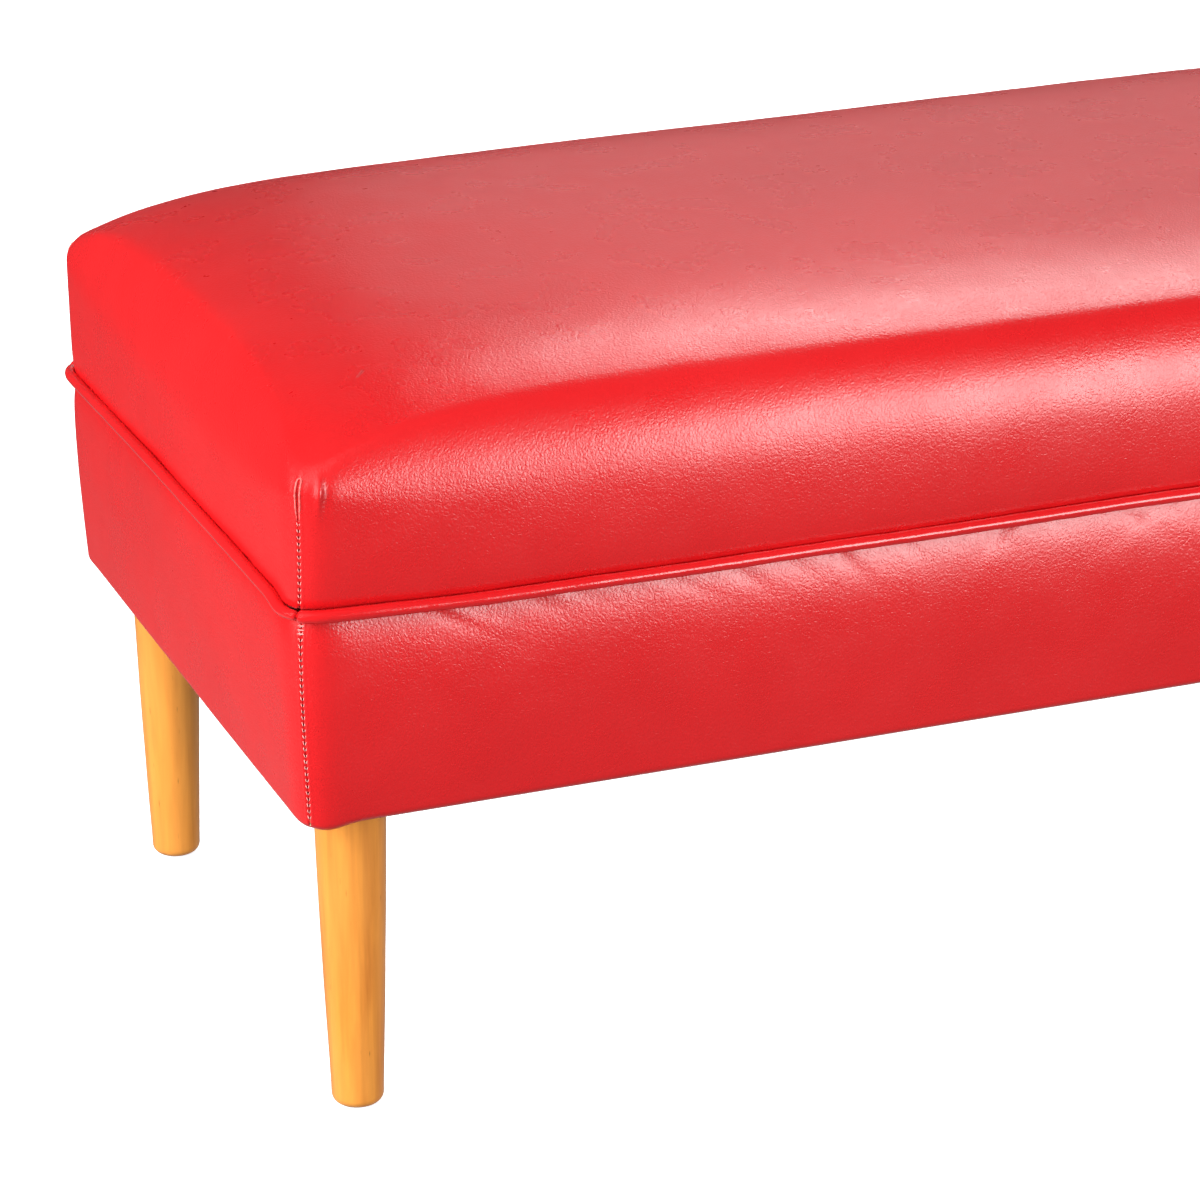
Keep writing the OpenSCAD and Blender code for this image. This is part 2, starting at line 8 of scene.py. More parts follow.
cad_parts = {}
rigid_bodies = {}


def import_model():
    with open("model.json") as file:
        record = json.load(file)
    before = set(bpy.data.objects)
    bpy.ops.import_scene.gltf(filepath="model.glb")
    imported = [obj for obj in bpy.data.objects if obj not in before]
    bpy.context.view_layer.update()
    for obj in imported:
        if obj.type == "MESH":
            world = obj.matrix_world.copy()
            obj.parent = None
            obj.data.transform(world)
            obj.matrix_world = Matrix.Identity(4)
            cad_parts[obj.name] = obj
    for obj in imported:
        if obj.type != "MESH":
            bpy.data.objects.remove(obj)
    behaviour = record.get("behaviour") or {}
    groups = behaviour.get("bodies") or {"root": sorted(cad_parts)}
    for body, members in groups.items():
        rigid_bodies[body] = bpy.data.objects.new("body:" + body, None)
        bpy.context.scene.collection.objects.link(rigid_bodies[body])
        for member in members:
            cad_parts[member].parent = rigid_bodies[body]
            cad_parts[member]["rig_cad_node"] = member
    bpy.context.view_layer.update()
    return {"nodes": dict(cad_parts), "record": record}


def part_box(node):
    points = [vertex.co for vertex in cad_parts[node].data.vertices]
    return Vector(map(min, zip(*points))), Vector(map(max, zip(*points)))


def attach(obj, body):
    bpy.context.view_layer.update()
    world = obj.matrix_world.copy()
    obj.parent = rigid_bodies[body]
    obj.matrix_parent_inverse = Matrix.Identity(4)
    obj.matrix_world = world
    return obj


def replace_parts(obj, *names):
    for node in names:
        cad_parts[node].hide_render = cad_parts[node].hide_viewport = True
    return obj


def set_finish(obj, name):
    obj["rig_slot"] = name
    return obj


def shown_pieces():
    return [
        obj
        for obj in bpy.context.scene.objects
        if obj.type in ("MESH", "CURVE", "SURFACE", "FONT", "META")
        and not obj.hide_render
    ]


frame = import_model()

mm = 0.001
print("frame loaded:", len(frame["nodes"]), "nodes")

camera = {"place": (-1.0959, -2.1382, 1.0991), "yaw": 21.12, "pitch": 21.83, "roll": -0.39, "lens": 140.13}


def setCamera():
    yaw, pitch, roll = (math.radians(camera[key]) for key in ("yaw", "pitch", "roll"))
    forward = Vector((math.sin(yaw) * math.cos(pitch), math.cos(yaw) * math.cos(pitch), -math.sin(pitch)))
    right = Vector((math.cos(yaw), -math.sin(yaw), 0))
    up = right.cross(forward)
    across = math.cos(roll) * right + math.sin(roll) * up
    upright = math.cos(roll) * up - math.sin(roll) * right
    data = bpy.data.cameras.new("benchCamera")
    data.sensor_width = 36
    data.lens = camera["lens"]
    data.clip_end = 60
    eye = bpy.data.objects.new("benchCamera", data)
    bpy.context.scene.collection.objects.link(eye)
    turn = Matrix((across, upright, -forward)).transposed().to_4x4()
    eye.matrix_world = Matrix.Translation(camera["place"]) @ turn
    bpy.context.scene.camera = eye


setCamera()

# what the frame gives: where the timber, the welt and the underside lie
wrap = 6 * mm                      # padding and leather over the timber
railLow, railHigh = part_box("front_rail")
halfLong = railHigh.x + wrap
halfDeep = -railLow.y + wrap
timberTop = railHigh.z
weltLow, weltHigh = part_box("welt_cord")
weltMiddle = (weltLow.z + weltHigh.z) / 2
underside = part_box("band_front")[0].z
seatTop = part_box("seat_cover")[1].z
cornerRadius = 30 * mm             # the corners' curve starts this far from the square corner
cornerPower = 3.8                  # 2 is a circle, more keeps the bend tighter in the middle
bowPower = 5                       # more keeps a side's bow even and ends it close to the corners
leatherThick = 1 * mm


sideWords = ("front", "right", "back", "left")


def halfSide(k):
    return halfLong if k % 2 == 0 else halfDeep


def makePiece(name, points, faces, slot):
    mesh = bpy.data.meshes.new(name)
    mesh.from_pydata([tuple(p) for p in points], [], faces)
    mesh.update()
    mesh.polygons.foreach_set("use_smooth", [True] * len(mesh.polygons))
    piece = bpy.data.objects.new(name, mesh)
    bpy.context.scene.collection.objects.link(piece)
    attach(piece, "root")
    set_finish(piece, slot)
    return piece


def readPoints(piece):
    flat = np.zeros(len(piece.data.vertices) * 3)
    piece.data.vertices.foreach_get("co", flat)
    return flat.reshape(-1, 3)


def readNormals(piece):
    flat = np.zeros(len(piece.data.vertices) * 3)
    piece.data.vertex_normals.foreach_get("vector", flat)
    return flat.reshape(-1, 3)


def writePoints(piece, points):
    piece.data.vertices.foreach_set("co", points.ravel())
    piece.data.update()


def storeValue(piece, name, values):
    layer = piece.data.attributes.new(name, "FLOAT", "POINT")
    layer.data.foreach_set("value", np.asarray(values, float))


def thicken(piece, thickness):
    shell = piece.modifiers.new("thickness", "SOLIDIFY")
    shell.thickness = thickness
    shell.offset = -1


def gridFaces(rows, columns, closeColumns=False, closeRows=False):
    faces = []
    for j in range(rows if closeRows else rows - 1):
        for i in range(columns if closeColumns else columns - 1):
            k = (j + 1) % rows
            n = (i + 1) % columns
            faces.append((j * columns + i, j * columns + n, k * columns + n, k * columns + i))
    return faces


def softNoise(points, scale, seed):
    shift = Vector((seed * 7.13, seed * 3.71, seed * 5.37))
    return np.array([noise.noise(Vector(p) * scale + shift) for p in points])


def bump(x, width):
    return np.exp(-(x / width) ** 2)


# The outline is a rounded rectangle whose sides bow out: 0 front, 1 right, 2 back, 3 left.
# Each side runs from the middle of one corner to the middle of the next.

def gradedSteps(length, first, growth, largest):
    places = [0.0]
    step = first
    while places[-1] < length:
        places.append(places[-1] + step)
        step = min(step * growth, largest)
    return np.array(places) / places[-1]


def makeOutline(arcSteps, arcEase, first, growth, largest):
    places = []
    ease = (np.arange(arcSteps + 1) / arcSteps) ** arcEase
    for k in range(4):
        length = halfSide(k) - cornerRadius
        steps = gradedSteps(length, first, growth, largest)
        straight = np.concatenate([steps - 1, (1 - steps)[::-1][1:]])
        places += [(k, -1.0, 225 + 45 * e) for e in ease[:-1]]
        places += [(k, f, 270.0) for f in straight]
        places += [(k, 1.0, 315 - 45 * e) for e in ease[::-1][1:-1]]
    side, along, angle = (np.array(values) for values in zip(*places))
    outline = {"side": side, "along": along, "angle": np.radians(angle)}
    outline["corners"] = [side.tolist().index(k) for k in range(4)]
    outline["long"] = outline["side"] % 2 == 0
    return outline


def rounded(part):
    return np.sign(part) * np.abs(part) ** (2 / cornerPower)


def placeOutline(outline, endInset, sideInset, radius, longBow=0.0, endBow=0.0):
    long = outline["long"]
    reach = np.where(long, halfLong - endInset, halfDeep - sideInset)
    out = np.where(long, halfDeep - sideInset, halfLong - endInset)
    x = outline["along"] * (reach - radius) + radius * rounded(np.cos(outline["angle"]))
    middle = reach - radius * (1 - 0.5 ** (1 / cornerPower))
    bow = np.where(long, longBow, endBow) * (1 - np.minimum(1, np.abs(x) / middle) ** bowPower)
    y = radius - out + radius * rounded(np.sin(outline["angle"])) - bow
    turns = [(x, y), (-y, x), (-x, -y), (y, -x)]
    side = outline["side"]
    return (np.choose(side, [t[0] for t in turns]), np.choose(side, [t[1] for t in turns]))


def sideColumns(outline, k):
    count = len(outline["side"])
    first = outline["corners"][k]
    last = outline["corners"][(k + 1) % 4]
    if last <= first:
        last += count
    return [i % count for i in range(first, last + 1)]


# One side's points with both of its corners, all counted as that side's own.
def sidePart(outline, k):
    columns = sideColumns(outline, k)
    part = {key: outline[key][columns] for key in ("side", "along", "angle")}
    part["side"][:] = k
    part["long"] = part["side"] % 2 == 0
    part["along"][-1] = 1.0
    part["angle"][-1] = math.radians(315)
    return part


def distanceToCorner(points, cornerPoints):
    gaps = [np.hypot(points[:, 0] - c[0], points[:, 1] - c[1]) for c in cornerPoints]
    return np.min(gaps, axis=0)


seat = {
    "lean": 1.5 * mm,              # how far the faces lean out by the welt
    "longBulge": 2.8 * mm,
    "endBulge": 0.2 * mm,
    "longBow": 3.5 * mm,
    "endBow": 0.6 * mm,
    "longTuck": 2.5 * mm,          # how far the leather dives in behind the welt
    "endTuck": 0.5 * mm,
    "tuckHeight": 4 * mm,
    "shoulderFoot": 321 * mm,      # where the face starts to turn over
    "cornerFoot": 341 * mm,
    "shoulderWidth": 22 * mm,
    "cornerWidth": 7 * mm,
    "shoulderPower": 2.3,
    "cornerFade": 36 * mm,
    "edgeDrop": 24 * mm,           # fall of the crown from the middle to each edge
    "crownReach": 50 * mm,
    "cornerGrowth": 0.45,          # how fast the rings' corners open out
    "patchInset": 46 * mm,         # rings end here and a grid fills the top
    "dartTop": 348.5 * mm,
    "dartSlit": 20 * mm,
    "waves": 0.5 * mm,             # unevenness of the padding, broad and fine
    "ripples": 0.18 * mm,
    "pucker": 0.35 * mm,           # depth of the folds over the welt, where they start and their distance
    "firstPucker": 45 * mm,
    "puckerGap": 60 * mm,
}


def fallFromEdge(distance, half):
    reach = seat["crownReach"]
    return seat["edgeDrop"] * np.cosh((half - distance) / reach) / np.cosh(half / reach)


def crownHeight(x, y):
    fall = fallFromEdge(halfLong - np.abs(x), halfLong) + fallFromEdge(halfDeep - np.abs(y), halfDeep)
    lowest = 2 * seat["edgeDrop"] / np.cosh(halfDeep / seat["crownReach"])
    return seatTop - fall + lowest / 2


# The welt rides a little high by the front of each end and low along the front and back.
welt = {
    "radius": 3.25 * mm,
    "out": 3.3 * mm,               # its centre from the bench's nominal face
    "proud": 1.5 * mm,
    "frontDrop": -2.0 * mm,
    "backDrop": -3.0 * mm,
    "cornerLift": 0.5 * mm,
    "endLift": 3.4 * mm,
    "kink": 15 * mm,               # where it lifts away from a corner, and over what distance
    "settle": 13 * mm,
    "wave": 0.5 * mm,              # its unevenness up and down
    "sink": 1.4 * mm,              # the leather above and below ends this far from its middle
    "cap": 1.6 * mm,               # length of its rounded ends
    "thinning": 0.22,              # it's thinner by this share near a corner, over the next distance
    "thinned": 10 * mm,
}


def weltLift(outline):
    x, y = placeOutline(outline, 0, 0, cornerRadius)
    side = outline["side"]
    fromCorner = halfLong - np.abs(x)
    fromFront = y + halfDeep
    leave = 1 - bump(fromCorner, 60 * mm)
    front = welt["cornerLift"] + (welt["frontDrop"] - welt["cornerLift"]) * leave
    back = np.full_like(x, welt["backDrop"])
    share = np.clip(fromFront / (2 * halfDeep), 0, 1)
    rise = np.clip((fromFront - welt["kink"]) / welt["settle"], 0, 1)
    rise = rise * rise * (3 - 2 * rise)
    slope = welt["endLift"] * (1 - share ** 2.2) + welt["backDrop"] * share ** 2.2
    end = welt["cornerLift"] * (1 - rise) + slope * rise
    wave = welt["wave"] * softNoise(np.stack([x, y, 0 * x], 1), 14, 3)
    return np.choose(side, [front, end, back, end]) + wave


def coverFoot(outline):
    return weltMiddle + weltLift(outline) + welt["sink"]


def seatRings(outline):
    x0, y0 = placeOutline(outline, 0, 0, cornerRadius)
    fromCorner = (halfLong - np.abs(x0)) + (halfDeep - np.abs(y0))
    fromCorner -= fromCorner.min()
    near = np.exp(-np.maximum(0, fromCorner) / seat["cornerFade"])
    foot = seat["shoulderFoot"] + (seat["cornerFoot"] - seat["shoulderFoot"]) * near
    width = seat["shoulderWidth"] + (seat["cornerWidth"] - seat["shoulderWidth"]) * near
    start = coverFoot(outline)
    rings = []

    def ring(inset, outLong, outEnd, height):
        radius = cornerRadius + seat["cornerGrowth"] * np.maximum(0, inset)
        bowShare = 1 - np.maximum(0, inset) / halfDeep
        x, y = placeOutline(outline, inset - outEnd, inset - outLong, radius,
                            seat["longBow"] * bowShare, seat["endBow"] * bowShare)
        rings.append(np.stack([x, y, height(x, y)], 1))

    for t in np.linspace(0, 1, 15)[:-1]:
        u = t ** 1.5
        swell = math.sin(math.pi / 2 * u)
        fade = np.exp(-u * (foot - start) / seat["tuckHeight"])
        outLong = seat["lean"] + seat["longBulge"] * swell - seat["longTuck"] * fade
        outEnd = seat["lean"] + seat["endBulge"] * swell - seat["endTuck"] * fade
        ring(0 * start, outLong, outEnd, lambda x, y: start + u * (foot - start))
    outLong = seat["lean"] + seat["longBulge"]
    outEnd = seat["lean"] + seat["endBulge"]
    power = 2 / seat["shoulderPower"]
    for t in np.linspace(0, 1, 19):
        angle = math.pi / 2 * t
        turnIn = 1 - math.cos(angle) ** power if t < 1 else 1.0
        climb = math.sin(angle) ** power
        ring(width * turnIn, outLong, outEnd, lambda x, y: foot + (crownHeight(x, y) - foot) * climb)
    for t in np.linspace(0, 1, 9)[1:]:
        ring(width + (seat["patchInset"] - width) * t, outLong * (1 - t), outEnd * (1 - t), crownHeight)
    return rings


# Fills the inside of a ring with a grid whose border is the ring itself.
def fillRing(outline, ring, height):
    front, right, back, left = (sideColumns(outline, k) for k in range(4))
    back, left = back[::-1], left[::-1]
    columns, rows = len(front), len(left)
    flat = ring[:, :2]

    def share(path):
        steps = np.hypot(*np.diff(flat[path], axis=0).T)
        return np.concatenate([[0], np.cumsum(steps)]) / steps.sum()

    s, t = share(front)[None, :, None], share(left)[:, None, None]
    f, b, l, r = flat[front][None], flat[back][None], flat[left][:, None], flat[right][:, None]
    corner = [flat[front[0]], flat[front[-1]], flat[back[0]], flat[back[-1]]]
    blend = ((1 - t) * f + t * b + (1 - s) * l + s * r - (1 - s) * (1 - t) * corner[0]
             - s * (1 - t) * corner[1] - (1 - s) * t * corner[2] - s * t * corner[3])
    inner = blend[1:-1, 1:-1].reshape(-1, 2)
    points = np.column_stack([inner, height(inner[:, 0], inner[:, 1])])
    index = np.zeros((rows, columns), int)
    index[0], index[-1], index[:, 0], index[:, -1] = front, back, left, right
    index[1:-1, 1:-1] = -1 - np.arange(len(inner)).reshape(rows - 2, columns - 2)
    return points, index


def patchFaces(index, ringStart, patchStart, flip=False):
    places = np.where(index >= 0, index + ringStart, -1 - index + patchStart)
    quads = np.stack([places[:-1, :-1], places[:-1, 1:], places[1:, 1:], places[1:, :-1]], -1).reshape(-1, 4)
    return [tuple(q[::-1]) if flip else tuple(q) for q in quads.tolist()]


def dishMesh(outline, rings, name, slot, height):
    points, index = fillRing(outline, rings[-1], height)
    count = len(outline["side"])
    faces = gridFaces(len(rings), count, closeColumns=True)
    faces += patchFaces(index, (len(rings) - 1) * count, len(rings) * count)
    return makePiece(name, np.concatenate(rings + [points]), faces, slot)


fineOutline = makeOutline(arcSteps=26, arcEase=1.25, first=0.9 * mm, growth=1.1, largest=7 * mm)
plainOutline = makeOutline(arcSteps=4, arcEase=1, first=12 * mm, growth=1.3, largest=30 * mm)

# Each sewn corner is a groove with a raised lip on both sides.
seam = {
    "groove": 0.45 * mm,
    "grooveWidth": 0.6 * mm,
    "lip": 0.3 * mm,
    "lipPlace": 1.5 * mm,
    "lipWidth": 0.7 * mm,
}


def seamDepth(gap, shown):
    groove = -seam["groove"] * bump(gap, seam["grooveWidth"])
    lips = seam["lip"] * bump(gap - seam["lipPlace"], seam["lipWidth"])
    return (groove + lips) * shown


def makePuckers(seed, length, first, gap, depth):
    draw = np.random.default_rng(seed)
    places = []
    place = first
    while place < length - first:
        slant = draw.uniform(0.7, 2.6) * (1 if draw.uniform() < 0.7 else -1)
        deep = depth * draw.uniform(0.3, 1.0)
        width = draw.uniform(3, 7) * mm
        reach = draw.uniform(4, 10) * mm
        places.append((place, deep, slant, width, reach))
        place += draw.uniform(0.5, 1.5) * gap
    return places


# Depth of the small folds that run away from the welt, where h is the distance from it.
def puckerDepth(puckers, run, h):
    depth = np.zeros_like(run)
    for place, deep, slant, width, reach in puckers:
        fold = run - place - slant * h
        beside = 0.35 * bump(fold - 2.2 * width, 1.6 * width)          # the leather swells beside a fold
        depth -= deep * (bump(fold, width) - beside) * np.exp(-h / reach)
    return depth


# Each point's distance from the start of its side.
def runAlong(points, sides):
    run = np.zeros(len(points))
    for k, axis, way in ((0, 0, 1), (1, 1, 1), (2, 0, -1), (3, 1, -1)):
        run = np.where(sides == k, way * points[:, axis] + halfSide(k), run)
    return run


# a soft upright fold beside each dart's end
crease = {
    "place": 12.5 * mm,            # along the face, from the corner
    "height": 342 * mm,
    "width": 1.7 * mm,
    "reach": 6 * mm,
    "rise": 1.7 * mm,
    "fold": 0.25,                  # depth of the hollow next to it, as a share of its rise
    "slant": 0.12,
}
seatRingList = seatRings(fineOutline)


def makeSeatCover():
    cover = dishMesh(fineOutline, seatRingList, "seatCover", "red_leather", crownHeight)
    points, normals = readPoints(cover), readNormals(cover)
    count = len(fineOutline["side"])
    cornerGap = np.full(len(points), 1.0)
    for j in range(len(seatRingList)):
        ring = points[j * count:(j + 1) * count]
        corners = [ring[i] for i in fineOutline["corners"]]
        cornerGap[j * count:(j + 1) * count] = distanceToCorner(ring, corners)
    z = points[:, 2]
    seamed = 1 / (1 + np.exp((z - seat["dartTop"]) / (0.6 * mm)))
    slit = bump(z - (seat["dartTop"] - seat["dartSlit"] * 0.45), seat["dartSlit"] * 0.5)
    depth = seamDepth(cornerGap, seamed * (1 + 0.5 * slit))
    onRings = np.arange(len(points)) < len(seatRingList) * count
    sides = np.where(onRings, np.tile(fineOutline["side"], len(points) // count + 1)[:len(points)], -1)
    run = runAlong(points, sides)
    footHeights = np.tile(coverFoot(fineOutline), len(points) // count + 1)[:len(points)]
    h = np.maximum(0, z - footHeights)
    for k in range(4):
        puckers = makePuckers(20 + k, 2 * halfSide(k), seat["firstPucker"], seat["puckerGap"],
                              seat["pucker"])
        depth += np.where(sides == k, puckerDepth(puckers, run, h), 0)
    onLong = (sides == 0) | (sides == 2)
    for start in (run, 2 * halfLong - run):
        across = (start - crease["place"] - crease["slant"] * (z - crease["height"])) / crease["width"]
        up = (z - crease["height"]) / crease["reach"]
        hollow = crease["fold"] * np.exp(-(across - 1.9) ** 2 - (up + 0.3) ** 2)
        depth += np.where(onLong, crease["rise"] * (np.exp(-across ** 2 - up ** 2) - hollow), 0)
    depth += seat["waves"] * softNoise(points, 11, 1) + seat["ripples"] * softNoise(points, 40, 2)
    points += normals * depth[:, None]
    writePoints(cover, points)
    storeValue(cover, "seamGap", cornerGap + np.where(z < seat["dartTop"], 0, 1))
    storeValue(cover, "seamRun", z)
    storeValue(cover, "seamSewn", z < seat["dartTop"] - seat["dartSlit"])
    thicken(cover, leatherThick)
    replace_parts(cover, "seat_cover")
    return cover


seatCover = makeSeatCover()
print("seat cover made:", len(seatCover.data.vertices), "points")

# wadding and foam under the cover
layers = {
    "gap": 0.25 * mm,
    "clear": 1.2 * mm,             # between the leather and the wadding
    "wadding": 5.6 * mm,
    "fluff": 0.3 * mm,
    "waddingSheet": 4.2 * mm,
    "foamFloor": 279.2 * mm,
}


def offsetRings(rings, depth):
    stack = np.array(rings)
    alongRow = np.roll(stack, -1, 1) - np.roll(stack, 1, 1)
    upRow = np.gradient(stack, axis=0)
    normals = np.cross(alongRow, upRow)
    normals /= np.linalg.norm(normals, axis=2, keepdims=True)
    return list(stack - normals * depth)


def makeSeatWadding():
    drop = leatherThick + layers["clear"]
    rings = offsetRings(seatRings(plainOutline), drop)
    wadding = dishMesh(plainOutline, rings, "seatWadding", "wadding", lambda x, y: crownHeight(x, y) - drop)
    points = readPoints(wadding)
    fluff = layers["fluff"] * (1 + softNoise(points, 60, 5))
    writePoints(wadding, points - readNormals(wadding) * fluff[:, None])
    thicken(wadding, layers["waddingSheet"])
    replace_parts(wadding, "seat_wadding")


def makeSeatFoam():
    depth = leatherThick + layers["wadding"] + 3 * layers["gap"]
    rings = offsetRings(seatRings(plainOutline), depth)
    floor = rings[0].copy()
    floor[:, 2] = layers["foamFloor"]
    count = len(plainOutline["side"])
    top, index = fillRing(plainOutline, rings[-1], lambda x, y: crownHeight(x, y) - depth)
    base, baseIndex = fillRing(plainOutline, floor, lambda x, y: 0 * x + layers["foamFloor"])
    stack = [floor] + rings
    faces = gridFaces(len(stack), count, closeColumns=True)
    faces += patchFaces(index, (len(stack) - 1) * count, len(stack) * count)
    faces += patchFaces(baseIndex, 0, len(stack) * count + len(top), flip=True)
    foam = makePiece("seatFoam", np.concatenate(stack + [top, base]), faces, "foam")
    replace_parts(foam, "seat_foam")


makeSeatWadding()
makeSeatFoam()

# the lower band is four panels over their padding
band = {
    "foot": -0.8 * mm,             # the face's place at its foot, and how far it leans out by the welt
    "longLean": 5.6 * mm,
    "endLean": 3.0 * mm,
    "longBow": 2.4 * mm,
    "endBow": 0.6 * mm,
    "edge": 5 * mm,
    "flange": 16.5 * mm,           # width turned under, its corner's radius and how that grows outward
    "innerRadius": 2 * mm,
    "radiusGrowth": 12 * mm,
    "longTuck": 7.0 * mm,          # how far the leather is pulled in under the welt, and over what height
    "longTuckHeight": 18 * mm,
    "endTuck": 2.8 * mm,
    "cornerReach": 28 * mm,        # both panels of a corner share its shape over this distance
    "cornerLean": 3.0 * mm,
    "cornerTuck": 2.6 * mm,
    "cornerTuckHeight": 8 * mm,
    "endTuckHeight": 5 * mm,
    "droop": 2.6 * mm,             # how far the folded corner hangs below the straight edge
    "droopPlace": 12 * mm,
    "droopWidth": 11 * mm,
    "swell": 0.8 * mm,
    "waves": 0.45 * mm,
    "ripples": 0.15 * mm,
    "longPucker": 1.9 * mm,        # depth of the folds under the welt
    "endPucker": 0.4 * mm,
    "firstPucker": 60 * mm,
    "puckerGap": 36 * mm,
}


def bandRows(outline, k):
    part = sidePart(outline, k)
    top = weltMiddle + weltLift(outline)[sideColumns(outline, k)] - welt["sink"]
    foot = underside + band["edge"]
    x0, y0 = placeOutline(part, 0, 0, cornerRadius)
    run = runAlong(np.stack([x0, y0], 1), part["side"])
    ends = np.minimum(run, 2 * halfSide(k) - run)
    atCorner = ends.min()
    if k % 2 == 0:
        kind = "long"
        droop = band["droop"] * bump(ends - band["droopPlace"], band["droopWidth"])
    else:
        kind = "end"
        meet = band["droop"] * bump(atCorner - band["droopPlace"], band["droopWidth"])
        droop = meet * bump(ends - atCorner, band["droopWidth"])
    rows = []
    tuck, tuckHeight = band[kind + "Tuck"], band[kind + "TuckHeight"]
    cornerShare = bump(ends - atCorner, band["cornerReach"])
    tuckHeight = tuckHeight + (band["cornerTuckHeight"] - tuckHeight) * cornerShare
    lean = band[kind + "Lean"] + (band["cornerLean"] - band[kind + "Lean"]) * cornerShare
    tuck = tuck + (band["cornerTuck"] - tuck) * cornerShare

    def row(inset, radius, bowShare, z, hang):
        x, y = placeOutline(part, inset, inset, radius,
                            band["longBow"] * bowShare, band["endBow"] * bowShare)
        rows.append(np.stack([x, y, z - droop * hang + 0 * x], 1))

    for t in np.linspace(0, 1, 5)[:-1]:                  # the flange turned under the rails
        inset = band["flange"] + (band["edge"] - band["foot"] - band["flange"]) * t
        row(inset, band["innerRadius"] + band["radiusGrowth"] * t, 0, underside, t)
    for t in np.linspace(0, 1, 8)[:-1]:                  # the rounded lower edge
        angle = math.pi / 2 * t
        turnIn = band["edge"] * (1 - math.sin(angle))
        row(-band["foot"] + turnIn, cornerRadius - turnIn, 0,
            underside + band["edge"] * (1 - math.cos(angle)), 1)
    for t in np.linspace(0, 1, 34):
        u = 1 - (1 - t) ** 1.5
        z = foot + u * (top - foot)
        tuckIn = tuck * np.exp(-((top - z) / tuckHeight) ** 1.08)
        swell = band["swell"] * math.sin(math.pi * u)
        row(-band["foot"] - lean * u - swell + tuckIn, cornerRadius, u, z, math.exp(-u * 7))
    return rows, run, top


def makeBand(k, name, node):
    rows, run, top = bandRows(bandOutline, k)
    count = rows[0].shape[0]
    panel = makePiece(name, np.concatenate(rows), gridFaces(len(rows), count), "red_leather")
    points, normals = readPoints(panel), readNormals(panel)
    ends = np.concatenate([distanceToCorner(r, (r[0], r[-1])) for r in rows])
    z = points[:, 2]
    h = np.maximum(0, np.tile(top, len(rows)) - z)
    runs = np.tile(run, len(rows))
    folding = band["longPucker"] if k % 2 == 0 else band["endPucker"]
    puckers = makePuckers(40 + k, 2 * halfSide(k), band["firstPucker"], band["puckerGap"], folding)
    depth = puckerDepth(puckers, runs, h)
    depth += seamDepth(ends, 1.0)
    uneven = band["waves"] * softNoise(points, 13, 6 + k) + band["ripples"] * softNoise(points, 45, 9 + k)
    depth += uneven * (1 - bump(ends, 12 * mm))
    depth *= np.clip((z - underside) / (4 * mm), 0, 1)
    for place in (0, count - 1):               # both panels of a corner move their edges the same way
        edge = points[place::count, :2]
        normals[place::count] = np.column_stack([np.sign(edge), 0 * edge[:, 0]]) * math.sqrt(0.5)
    points += normals * depth[:, None]
    writePoints(panel, points)
    storeValue(panel, "seamGap", ends)
    storeValue(panel, "seamRun", z)
    storeValue(panel, "seamSewn", z > 0)
    thicken(panel, leatherThick)
    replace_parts(panel, node)


bandOutline = makeOutline(arcSteps=20, arcEase=1.25, first=1.0 * mm, growth=1.1, largest=3.2 * mm)


def makeBandPadding(k, name, node):
    outer = np.array(bandRows(plainOutline, k)[0][12:-8])
    side = outer.shape[1]
    alongRow = np.gradient(outer, axis=1)
    normals = np.cross(alongRow, np.gradient(outer, axis=0))
    normals /= np.linalg.norm(normals, axis=2, keepdims=True)
    outer = outer - normals * (leatherThick + 0.6 * mm)
    outer[:, :, 2] = np.minimum(outer[:, :, 2], timberTop)
    inner = outer.copy()
    axis, half, way = [(1, halfDeep, -1), (0, halfLong, 1), (1, halfDeep, 1), (0, halfLong, -1)][k]
    across = 1 - axis
    inner[:, :, axis] = way * (half - wrap)
    reach = (halfLong if axis == 1 else halfDeep) - wrap
    inner[:, :, across] = np.clip(inner[:, :, across], -reach, reach)
    stack = np.concatenate([outer, inner[::-1]])
    count = stack.shape[0]
    faces = gridFaces(count, side, closeRows=True)
    faces += [tuple(j * side for j in range(count))[::-1], tuple(j * side + side - 1 for j in range(count))]
    pad = makePiece(name, stack.reshape(-1, 3), faces, "foam")
    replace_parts(pad, node)


for k, word in enumerate(sideWords):
    makeBand(k, word + "Band", "band_" + word)
    makeBandPadding(k, word + "BandPadding", "band_padding_" + word)
print("lower band made")


def tubeRows(path, heights, radii, sections, wobble):
    step = np.gradient(path, axis=0)
    step /= np.linalg.norm(step, axis=1, keepdims=True)
    outward = np.stack([step[:, 1], -step[:, 0]], 1)
    rows = []
    for j in range(sections):
        a = 2 * math.pi * j / sections
        r = radii * (1 + wobble[:, j])
        across = r * math.cos(a)
        rows.append(np.column_stack([path + outward * across[:, None], heights + r * math.sin(a)]))
    return np.array(rows)


